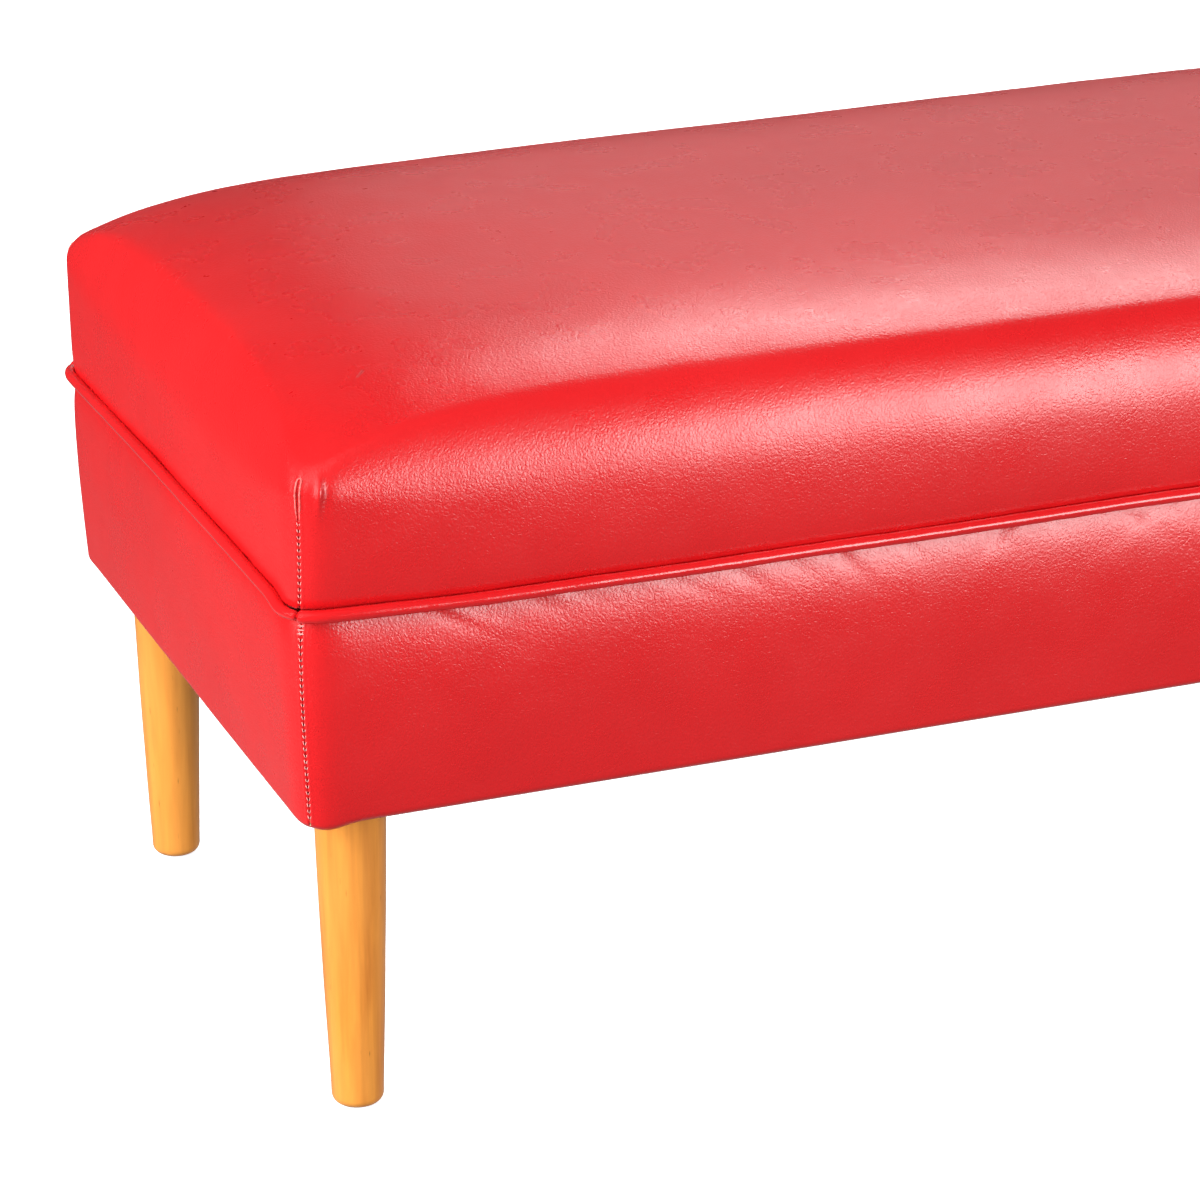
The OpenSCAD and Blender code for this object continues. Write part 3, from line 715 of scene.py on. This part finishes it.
def makeWelt(sections=14):
    points, faces = [], []
    for k in range(4):
        part = sidePart(weltOutline, k)
        onLong = k % 2 == 0
        out = welt["out"]
        x, y = placeOutline(part, -out, -out, cornerRadius + welt["proud"], band["longBow"], band["endBow"])
        path = np.stack([x, y], 1)
        lift = weltLift(part)
        steps = np.concatenate([[0], np.cumsum(np.hypot(*np.diff(path, axis=0).T))])
        fromEnd = np.minimum(steps, steps[-1] - steps)
        radius = welt["radius"] * (1.0 if onLong else 0.96)
        cap = np.sqrt(np.clip(1 - (1 - np.clip(fromEnd / welt["cap"], 0, 1)) ** 2, 0.02, 1))
        thin = 1 - (0.0 if onLong else welt["thinning"]) * bump(fromEnd, welt["thinned"])
        places = np.column_stack([path, lift])
        radii = radius * cap * thin * (1 + 0.05 * softNoise(places, 70, 11 + k))
        wobble = np.stack([0.04 * softNoise(places, 120, 30 + j) for j in range(sections)], 1)
        rows = tubeRows(path, weltMiddle + lift, radii, sections, wobble)
        start = len(points)
        count = rows.shape[1]
        points += list(rows.reshape(-1, 3))
        faces += [tuple(start + v for v in f) for f in gridFaces(sections, count, closeRows=True)]
        faces.append(tuple(start + j * count for j in range(sections))[::-1])
        faces.append(tuple(start + j * count + count - 1 for j in range(sections)))
    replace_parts(makePiece("weltCover", points, faces, "red_leather"), "welt_cover", "welt_cord")


weltOutline = makeOutline(arcSteps=16, arcEase=1.3, first=1.2 * mm, growth=1.08, largest=3 * mm)
makeWelt()
print("welt made")


# threads of the sewn corners
sewing = {
    "pitch": 3.3 * mm,
    "thread": 0.21 * mm,           # its radius
    "length": 2.0 * mm,
    "spread": 0.68 * mm,           # each row's distance from the seam
    "slant": 0.3 * mm,
    "proud": 0.42 * mm,
    "barProud": 0.65 * mm,
}


def capsule(start, end, radius, sides=6):
    axis = (end - start).normalized()
    across = axis.orthogonal().normalized()
    other = axis.cross(across)
    points = []
    for place, size in ((0.0, 0.35), (0.12, 0.85), (0.5, 1.0), (0.88, 0.85), (1.0, 0.35)):
        centre = start.lerp(end, place)
        for j in range(sides):
            a = 2 * math.pi * j / sides
            points.append(centre + radius * size * (math.cos(a) * across + math.sin(a) * other))
    faces = gridFaces(5, sides, closeColumns=True)
    faces.append(tuple(range(sides))[::-1])
    faces.append(tuple(range(4 * sides, 5 * sides)))
    return points, faces


def cornerLine(piece, count, cornerIndex, rows):
    points = readPoints(piece)
    return [Vector(points[j * count + cornerIndex]) for j in range(rows)]


def seatCorner(k):
    corner = fineOutline["corners"][k]
    line = cornerLine(seatCover, len(fineOutline["side"]), corner, len(seatRingList))
    outward = Vector((math.copysign(1, line[0].x), math.copysign(1, line[0].y), 0)).normalized()
    tangent = Vector((-outward.y, outward.x, 0))
    return line, outward, tangent


def pointAt(line, z):
    for a, b in zip(line, line[1:]):
        if a.z <= z <= b.z:
            return a.lerp(b, (z - a.z) / max(1e-9, b.z - a.z))
    return line[-1].copy()


flangeRows = 11                    # the panel's rows on the flange and the rounded edge


def makeStitches():
    points, faces = [], []

    def add(made):
        start = len(points)
        points.extend(made[0])
        faces.extend(tuple(start + v for v in f) for f in made[1])

    draw = np.random.default_rng(5)
    for k, word in enumerate(sideWords):
        panel = bpy.data.objects[word + "Band"]
        seatLine, outward, tangent = seatCorner(k)
        across = len(sideColumns(bandOutline, k))
        panelLine = cornerLine(panel, across, 0, len(panel.data.vertices) // across)[flangeRows:]
        cornerLift = weltLift(fineOutline)[fineOutline["corners"][k]]
        weltFoot = weltMiddle + cornerLift - welt["radius"]
        weltTop = weltMiddle + cornerLift + welt["radius"]
        runs = [(panelLine, underside + band["edge"] - 1 * mm, weltFoot - 1.5 * mm),
                (seatLine, weltTop + 1 * mm, seat["dartTop"] - seat["dartSlit"])]
        for line, low, high in runs:
            steps = int((high - low) / sewing["pitch"])
            for i in range(steps):
                z = low + (i + 0.5) * (high - low) / steps
                for way in (-1, 1):
                    lean = sewing["slant"] * draw.uniform(0.6, 1.4)
                    half = sewing["length"] / 2 * draw.uniform(0.85, 1.05)
                    middle = pointAt(line, z)
                    middle += outward * sewing["proud"] + tangent * way * sewing["spread"]
                    top = middle + Vector((0, 0, half)) + tangent * way * lean
                    bottom = middle - Vector((0, 0, half)) - tangent * way * lean
                    add(capsule(bottom, top, sewing["thread"] * draw.uniform(0.85, 1.1)))
        for i in range(4):                     # the sewing starts with a few bars right under the welt
            middle = pointAt(panelLine, weltFoot - (1.2 + 1.9 * i) * mm) + outward * sewing["barProud"]
            add(capsule(middle - tangent * 2.0 * mm, middle + tangent * 1.6 * mm + Vector((0, 0, 0.3 * mm)),
                        sewing["thread"] * 1.2))
    threads = makePiece("cornerStitches", points, faces, "seam_thread")
    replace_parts(threads, "corner_stitches")


makeStitches()

dart = {
    "lip": 0.85 * mm,
    "halfGap": 1.2 * mm,
    "proud": 0.22 * mm,
    "search": 20 * mm,             # how far off the cover is looked for
    "loop": 0.15,                  # share of each half's length that turns round the top
    "sections": 8,
    "steps": 44,
}


# The folded edge of the leather round each dart's open end, as one bent cord.
def makeDartLips():
    points, faces = [], []
    cover = BVHTree.FromPolygons([Vector(p) for p in readPoints(seatCover)],
                                 [tuple(f.vertices) for f in seatCover.data.polygons])
    for k in range(4):
        line, outward, tangent = seatCorner(k)
        low, high = seat["dartTop"] - seat["dartSlit"], seat["dartTop"]
        path = []
        for i in range(dart["steps"] + 1):
            u = i / dart["steps"] * 2 - 1                 # -1 up one side, 0 at the loop, 1 down the other
            if abs(u) > dart["loop"]:
                down = (abs(u) - dart["loop"]) / (1 - dart["loop"])
                z = high - dart["halfGap"] - down * (high - dart["halfGap"] - low)
                across = math.copysign(dart["halfGap"] * (0.55 + 0.45 * min(1, (z - low) / (8 * mm))), u)
            else:
                turn = math.pi / 2 * u / dart["loop"]
                z = high - dart["halfGap"] + dart["halfGap"] * math.cos(turn)
                across = dart["halfGap"] * math.sin(turn)
            target = pointAt(line, z) + tangent * across
            hit = cover.ray_cast(target + outward * dart["search"], -outward, 2 * dart["search"])[0]
            path.append((hit if hit else target) + outward * dart["proud"])
        for j, place in enumerate(path):
            ahead = (path[min(j + 1, len(path) - 1)] - path[max(j - 1, 0)]).normalized()
            side = ahead.cross(outward).normalized()
            up = side.cross(ahead)
            edge = min(j, len(path) - 1 - j)
            radius = dart["lip"] / 2 * min(1, 0.35 + edge / 10)
            for i in range(dart["sections"]):
                a = 2 * math.pi * i / dart["sections"]
                points.append(place + radius * (math.cos(a) * side + math.sin(a) * up))
        start = len(points) - len(path) * dart["sections"]
        tube = gridFaces(len(path), dart["sections"], closeColumns=True)
        faces += [tuple(start + v for v in f) for f in tube]
        faces.append(tuple(range(start, start + dart["sections"]))[::-1])
        faces.append(tuple(range(len(points) - dart["sections"], len(points))))
    makePiece("dartLips", points, faces, "red_leather")


makeDartLips()
print("corners sewn")


leg = {
    "topRadius": 18 * mm,
    "footRadius": 12.8 * mm,
    "swell": 0.5 * mm,
    "round": 5 * mm,
    "ease": 1 * mm,
    "uneven": 0.12 * mm,
    "sides": 96,
}


def makeLeg(name, node):
    low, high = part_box(node)
    cx, cy = (low.x + high.x) / 2, (low.y + high.y) / 2
    length = high.z - low.z
    profile = [(0.004, 0.0), (0.009, 0.0)]
    footRadius, rounding = leg["footRadius"], leg["round"]
    for i in range(9):
        a = math.pi / 2 * i / 8
        profile.append((footRadius - rounding * (1 - math.sin(a)) + 0.3 * mm, rounding * (1 - math.cos(a))))
    for i in range(1, 30):
        u = i / 29
        z = rounding + (length - leg["ease"] - rounding) * u
        share = z / length
        profile.append((footRadius + share * (leg["topRadius"] - footRadius)
                        + leg["swell"] * math.sin(math.pi * share), z))
    profile.append((leg["topRadius"] - leg["ease"], length))
    sides = leg["sides"]
    points = []
    for r, z in profile:
        for j in range(sides):
            a = 2 * math.pi * j / sides
            away = Vector((math.cos(a), math.sin(a), 0))
            spot = Vector((away.x * 1.3 + cx * 9, away.y * 1.3 + cy * 9, z * 30))
            uneven = leg["uneven"] * noise.noise(spot)
            points.append(Vector((cx, cy, low.z + z)) + away * (r + uneven))
    faces = gridFaces(len(profile), sides, closeColumns=True)
    faces.append(tuple(range(sides))[::-1])
    last = (len(profile) - 1) * sides
    faces.append(tuple(range(last, last + sides)))
    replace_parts(makePiece(name, points, faces, "leg_wood"), node)
    return np.array([cx, cy, leg["topRadius"] + legGap])


legGap = 1.5 * mm                  # between a leg and the edge of its hole in the dust cover
legHoles = []
for depthWord in ("front", "back"):
    for sideWord in ("Left", "Right"):
        hole = makeLeg(depthWord + sideWord + "Leg", "leg_" + depthWord + "_" + sideWord.lower())
        legHoles.append(hole)
print("legs made")

clothThick = 0.4 * mm
clothGrid = (126, 52)


# A flat stretched cloth. Its points near a hole are drawn to the hole's edge.
def makeCloth(name, node, holes):
    low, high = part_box(node)
    columns, rows = clothGrid
    xs, ys = np.linspace(low.x, high.x, columns), np.linspace(low.y, high.y, rows)
    grid = np.array([(x, y, high.z) for y in ys for x in xs])
    inside = np.zeros(len(grid), bool)
    for hole in holes:
        away = grid[:, :2] - hole[:2]
        far = np.hypot(*away.T)
        inside |= far < hole[2]
        close = far < hole[2] + 1 * mm
        grid[close, :2] = hole[:2] + away[close] / np.maximum(far[close], 1e-6)[:, None] * hole[2]
    faces = [f for f in gridFaces(rows, columns) if not all(inside[v] for v in f)]
    used = sorted({v for f in faces for v in f})
    renumber = {v: i for i, v in enumerate(used)}
    faces = [tuple(renumber[v] for v in f) for f in faces]
    cloth = makePiece(name, grid[used], faces, "black_cloth")
    thicken(cloth, clothThick)
    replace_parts(cloth, node)


makeCloth("dustCover", "dust_cover", legHoles)
makeCloth("deckCloth", "deck_cloth", [])
print("cloths made")


def startMaterial(name):
    material = bpy.data.materials.new(name)
    material.use_nodes = True
    tree = material.node_tree
    shader = tree.nodes["Principled BSDF"]
    return material, tree, shader


def addNode(tree, kind, settings=None, **inputs):
    made = tree.nodes.new(kind)
    for key, value in (settings or {}).items():
        setattr(made, key, value)
    for key, value in inputs.items():
        socket = made.inputs[int(key[1:])] if key[0] == "i" and key[1:].isdigit() else made.inputs[key]
        if isinstance(value, bpy.types.NodeSocket):
            tree.links.new(value, socket)
        else:
            socket.default_value = value
    return made


def objectPlace(tree, stretch=(1, 1, 1)):
    place = addNode(tree, "ShaderNodeTexCoord").outputs["Object"]
    return addNode(tree, "ShaderNodeMapping", None, Vector=place, Scale=stretch).outputs[0]


def noiseOf(tree, place, scale, detail=4.0, rough=0.5, distortion=0.0):
    made = addNode(tree, "ShaderNodeTexNoise", None, Vector=place, Scale=scale, Detail=detail,
                   Roughness=rough, Distortion=distortion)
    return made.outputs["Fac"]


def mathOf(tree, operation, a, b=0.0):
    made = addNode(tree, "ShaderNodeMath", {"operation": operation}, i0=a, i1=b)
    return made.outputs[0]


def setInputs(made, numbers):
    for name, number in numbers.items():
        made.inputs[name].default_value = number


def rangeOf(tree, value, fromLow, fromHigh, toLow, toHigh):
    made = addNode(tree, "ShaderNodeMapRange", None, Value=value)
    setInputs(made, {"From Min": fromLow, "From Max": fromHigh, "To Min": toLow, "To Max": toHigh})
    return made.outputs[0]


def mixColours(tree, share, a, b):
    made = addNode(tree, "ShaderNodeMix", {"data_type": "RGBA"})
    for index, value in ((0, share), (6, a), (7, b)):
        if isinstance(value, bpy.types.NodeSocket):
            tree.links.new(value, made.inputs[index])
        else:
            made.inputs[index].default_value = value
    return made.outputs[2]


def bumpOf(tree, height, strength, distance):
    made = addNode(tree, "ShaderNodeBump", None, Height=height, Strength=strength, Distance=distance)
    return made.outputs[0]


def vectorOf(tree, operation, **inputs):
    return addNode(tree, "ShaderNodeVectorMath", {"operation": operation}, **inputs).outputs[0]


def readValue(tree, name):
    return addNode(tree, "ShaderNodeAttribute", {"attribute_name": name}).outputs["Fac"]


def linkSurface(tree, shader, colour, rough, normal):
    tree.links.new(colour, shader.inputs["Base Color"])
    tree.links.new(rough, shader.inputs["Roughness"])
    tree.links.new(normal, shader.inputs["Normal"])


def shiftPlace(tree, place, drift, reach):
    away = vectorOf(tree, "SUBTRACT", i0=drift, i1=(0.5, 0.5, 0.5))
    return vectorOf(tree, "ADD", i0=place, i1=vectorOf(tree, "SCALE", i0=away, Scale=reach))


# One inside each cell and nought along the lines between them.
def crackle(tree, place, scale, edge):
    gap = addNode(tree, "ShaderNodeTexVoronoi", {"feature": "DISTANCE_TO_EDGE"}, Vector=place, Scale=scale)
    smooth = addNode(tree, "ShaderNodeMapRange", {"interpolation_type": "SMOOTHSTEP"},
                     Value=gap.outputs["Distance"])
    smooth.inputs["From Max"].default_value = edge
    return smooth.outputs[0]


def weighted(tree, parts):
    total = 0
    for value, weight in parts:
        made = addNode(tree, "ShaderNodeMath", {"operation": "MULTIPLY_ADD"}, i0=value, i1=weight, i2=total)
        total = made.outputs[0]
    return total


leather = {
    "red": (0.66, 0.0095, 0.0120, 1),
    "deepRed": (0.60, 0.006, 0.0085, 1),
    # near-black red painted into the needle holes and along the seam groove as their shade
    "seamShadeRed": (0.06, 0.001, 0.002, 1),
    "cellScale": 520.0,            # the fine cells of the grain, and how wide their edges are
    "cellEdge": 0.34,
    "foldScale": 240.0,            # the longer folds between them
    "foldEdge": 0.2,
    "grainDepth": 0.078 * mm,
    "weltGrain": 0.03 * mm,
    "roughness": 0.28,
    "weltRoughness": 0.16,
}


def makeLeather(name, sewn, roughness, grain):
    material, tree, shader = startMaterial(name)
    place = objectPlace(tree)
    warp = addNode(tree, "ShaderNodeTexNoise", None, Vector=place, Scale=300.0, Detail=2.0).outputs["Color"]
    bent = shiftPlace(tree, place, warp, 2.2 * mm)
    cells = crackle(tree, bent, leather["cellScale"], leather["cellEdge"])
    folds = crackle(tree, shiftPlace(tree, place, warp, 3.5 * mm), leather["foldScale"], leather["foldEdge"])
    pores = noiseOf(tree, place, 800.0, 1.0)
    height = weighted(tree, [(cells, 0.55), (folds, 0.3), (pores, 0.35)])
    blotch = rangeOf(tree, noiseOf(tree, place, 7.0, 5.0, 0.6), 0.3, 0.7, 0.0, 1.0)
    colour = mixColours(tree, blotch, leather["deepRed"], leather["red"])
    # painted shade: dark dashes at each stitch pitch stand in for shadow in the needle holes, and the
    # leather right on the seam line is darkened a little as the groove's shade
    if sewn:
        gap = readValue(tree, "seamGap")
        beat = mathOf(tree, "PINGPONG", readValue(tree, "seamRun"), sewing["pitch"] / 2)
        hole = rangeOf(tree, beat, 0.55 * mm, 0.8 * mm, 0.85, 0.0)
        close = rangeOf(tree, gap, 0.4 * mm, 0.65 * mm, 1.0, 0.0)
        holeShadeMask = mathOf(tree, "MULTIPLY", mathOf(tree, "MULTIPLY", hole, close), readValue(tree, "seamSewn"))
        shade = mathOf(tree, "MAXIMUM", holeShadeMask, rangeOf(tree, gap, 0.0, 0.4 * mm, 0.1, 0.0))
        colour = mixColours(tree, shade, colour, leather["seamShadeRed"])
    rough = rangeOf(tree, noiseOf(tree, place, 35.0, 4.0), 0.3, 0.7, roughness - 0.03, roughness + 0.04)
    linkSurface(tree, shader, colour, rough, bumpOf(tree, height, 1.0, grain))
    setInputs(shader, {"IOR": 1.6, "Specular IOR Level": 1.0})
    return material


def makeWood():
    material, tree, shader = startMaterial("honeyWood")
    place = objectPlace(tree, (1, 1, 0.06))
    streaks = noiseOf(tree, place, 190.0, 6.0, 0.55, 0.4)
    broad = noiseOf(tree, objectPlace(tree, (1, 1, 0.18)), 38.0, 4.0)
    fleck = addNode(tree, "ShaderNodeTexVoronoi", {"feature": "F1"}, Vector=objectPlace(tree, (1, 1, 0.12)),
                    Scale=420.0).outputs["Distance"]
    fleckMark = rangeOf(tree, fleck, 0.05, 0.16, 1.0, 0.0)
    some = rangeOf(tree, noiseOf(tree, objectPlace(tree), 90.0, 2.0), 0.5, 0.6, 0.0, 0.8)
    fleckMark = mathOf(tree, "MULTIPLY", fleckMark, some)
    colour = mixColours(tree, rangeOf(tree, streaks, 0.3, 0.72, 0.0, 1.0), (0.62, 0.195, 0.026, 1),
                        (0.86, 0.325, 0.048, 1))
    colour = mixColours(tree, rangeOf(tree, broad, 0.35, 0.7, 0.0, 0.6), colour, (0.9, 0.39, 0.08, 1))
    colour = mixColours(tree, fleckMark, colour, (0.34, 0.10, 0.014, 1))
    rough = rangeOf(tree, streaks, 0.3, 0.7, 0.42, 0.32)
    linkSurface(tree, shader, colour, rough, bumpOf(tree, streaks, 0.25, 0.1 * mm))
    setInputs(shader, {"Coat Weight": 0.5, "Coat Roughness": 0.18})
    return material


def makePlain(name, low, high, scale, rough, bumpHeight, stretch=(1, 1, 1), metal=0.0, sheen=0.0):
    material, tree, shader = startMaterial(name)
    place = objectPlace(tree, stretch)
    mottle = noiseOf(tree, place, scale, 5.0, 0.6)
    blend = rangeOf(tree, mottle, 0.3, 0.7, 0.0, 1.0)
    linkSurface(tree, shader, mixColours(tree, blend, low, high),
                rangeOf(tree, mottle, 0.3, 0.7, rough - 0.06, rough + 0.06),
                bumpOf(tree, mottle, 0.5, bumpHeight))
    setInputs(shader, {"Metallic": metal, "Sheen Weight": sheen})
    return material


def makeWeave(name, low, high, pitch, height):
    material, tree, shader = startMaterial(name)
    place = objectPlace(tree)
    warp, weft = (addNode(tree, "ShaderNodeTexWave", {"bands_direction": way}, Vector=place, Scale=pitch,
                          Distortion=0.4).outputs["Fac"] for way in ("X", "Y"))
    threads = mathOf(tree, "MAXIMUM", warp, weft)
    fluff = noiseOf(tree, place, 900.0, 3.0)
    blend = mathOf(tree, "MULTIPLY", threads, rangeOf(tree, fluff, 0.3, 0.7, 0.7, 1.1))
    linkSurface(tree, shader, mixColours(tree, blend, low, high),
                rangeOf(tree, fluff, 0.3, 0.7, 0.8, 0.95), bumpOf(tree, blend, 0.6, height))
    setInputs(shader, {"Sheen Weight": 0.2})
    return material


redLeather = makeLeather("redLeather", True, leather["roughness"], leather["grainDepth"])
weltLeather = makeLeather("weltLeather", False, leather["weltRoughness"], leather["weltGrain"])
# the dart lips' paler pink is partly the folded edge's own paler tone and partly a painted highlight along
# the rim
rimPaleAndHighlight = makePlain("dartRimPaleAndHighlit", (0.85, 0.08, 0.075, 1), (0.92, 0.22, 0.2, 1), 700.0, 0.3,
                       0.02 * mm)
special = {"weltCover": weltLeather, "dartLips": rimPaleAndHighlight}
finishes = {
    "red_leather": redLeather,
    "leg_wood": makeWood(),
    "frame_wood": makePlain("paleTimber", (0.55, 0.38, 0.2, 1), (0.72, 0.54, 0.32, 1), 60.0, 0.6,
                            0.1 * mm, (0.1, 1, 1)),
    "zinc_steel": makePlain("zincedSteel", (0.45, 0.45, 0.47, 1), (0.68, 0.68, 0.7, 1), 400.0, 0.35,
                            0.02 * mm, metal=1.0),
    "glide_nylon": makePlain("brownNylon", (0.055, 0.042, 0.03, 1), (0.085, 0.065, 0.05, 1), 300.0, 0.5,
                             0.02 * mm),
    "webbing": makeWeave("juteWebbing", (0.09, 0.06, 0.035, 1), (0.26, 0.18, 0.11, 1), 260.0, 0.2 * mm),
    "black_cloth": makeWeave("blackCloth", (0.006, 0.006, 0.007, 1), (0.022, 0.022, 0.025, 1), 420.0,
                             0.1 * mm),
    "foam": makePlain("creamFoam", (0.62, 0.56, 0.4, 1), (0.82, 0.77, 0.6, 1), 500.0, 0.9, 0.3 * mm),
    "wadding": makePlain("whiteWadding", (0.72, 0.72, 0.72, 1), (0.9, 0.9, 0.9, 1), 220.0, 0.95,
                         0.5 * mm, sheen=0.3),
    "seam_thread": makePlain("pinkThread", (0.9, 0.3, 0.28, 1), (0.97, 0.5, 0.47, 1), 2600.0, 0.55,
                             0.05 * mm),
}
slotOf = {row["node"]: row["material_slot"] for row in frame["record"]["subparts"]}
for name, part in frame["nodes"].items():
    part.data.materials.clear()
    part.data.materials.append(finishes[slotOf[name]])
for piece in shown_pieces():
    if "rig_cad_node" not in piece:
        piece.data.materials.clear()
        piece.data.materials.append(special.get(piece.name, finishes[piece["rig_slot"]]))
print("materials set")


def makeFloor():
    size = 9.0
    mesh = bpy.data.meshes.new("studioFloor")
    corners = [(-size, -size, 0), (size, -size, 0), (size, size, 0), (-size, size, 0)]
    mesh.from_pydata(corners, [], [(0, 1, 2, 3)])
    floor = bpy.data.objects.new("studioFloor", mesh)
    bpy.context.scene.collection.objects.link(floor)
    material, tree, shader = startMaterial("paleFloor")
    mottle = noiseOf(tree, objectPlace(tree), 3.0, 2.0)
    pale = mixColours(tree, mottle, (0.86, 0.86, 0.86, 1), (0.9, 0.9, 0.9, 1))
    tree.links.new(pale, shader.inputs["Base Color"])
    setInputs(shader, {"Roughness": 0.9, "Emission Color": (1, 1, 1, 1), "Emission Strength": 0.8})
    mesh.materials.append(material)
    floor.visible_glossy = False
    floor.visible_diffuse = False
    floor.visible_shadow = False


# Each light: azimuth from straight behind (positive to the right), elevation, distance, width,
# height and radiance.
studio = {
    "backdropLight": (36, 19, 3.2, 3.1, 1.6, 0.4),
    "highBackLight": (36, 48, 2.8, 1.35, 0.75, 4.6),
    "frontRightLight": (157, 3, 2.6, 1.15, 1.15, 4.7),
    "frontFill": (160, 12, 2.6, 1.5, 1.5, 5.0),
    "leftFill": (-104, 14, 2.6, 2.0, 1.8, 9.4),
    "highLeftFill": (-128, 44, 2.1, 1.3, 1.0, 3.4),
    "backFill": (10, 12, 2.6, 2.2, 1.5, 5.5),
    "rightFill": (96, 12, 2.6, 1.6, 1.4, 4.0),
}
studioAim = Vector((0, 0, 0.33))


def makeLights():
    for name, (azimuth, elevation, distance, width, height, radiance) in studio.items():
        data = bpy.data.lights.new(name, "AREA")
        data.shape = "RECTANGLE"
        data.size = width
        data.size_y = height
        data.energy = radiance * math.pi * width * height
        lamp = bpy.data.objects.new(name, data)
        level, turn = math.radians(elevation), math.radians(azimuth)
        away = Vector((math.sin(turn) * math.cos(level), math.cos(turn) * math.cos(level), math.sin(level)))
        lamp.location = studioAim + away * distance
        lamp.rotation_euler = away.to_track_quat("Z", "Y").to_euler()
        lamp.visible_camera = False
        lamp.visible_glossy = not name.endswith("Fill")        # fills give no glint
        bpy.context.scene.collection.objects.link(lamp)
    world = bpy.data.worlds.new("studioWorld")
    world.use_nodes = True
    tree = world.node_tree
    direction = addNode(tree, "ShaderNodeTexCoord").outputs["Generated"]
    parts = addNode(tree, "ShaderNodeSeparateXYZ", None, Vector=direction).outputs
    below = rangeOf(tree, parts["Z"], -0.5, -0.3, 1.0, 0.0)
    floorGlow = mathOf(tree, "MULTIPLY", below, rangeOf(tree, parts["Y"], -0.3, 0.3, 0.04, 0.26))
    strength = mathOf(tree, "ADD", floorGlow, 0.08)
    tree.links.new(strength, tree.nodes["Background"].inputs["Strength"])
    tree.nodes["Background"].inputs["Color"].default_value = (1, 1, 1, 1)
    bpy.context.scene.world = world
    bpy.context.scene.view_settings.view_transform = "Standard"


makeFloor()
makeLights()
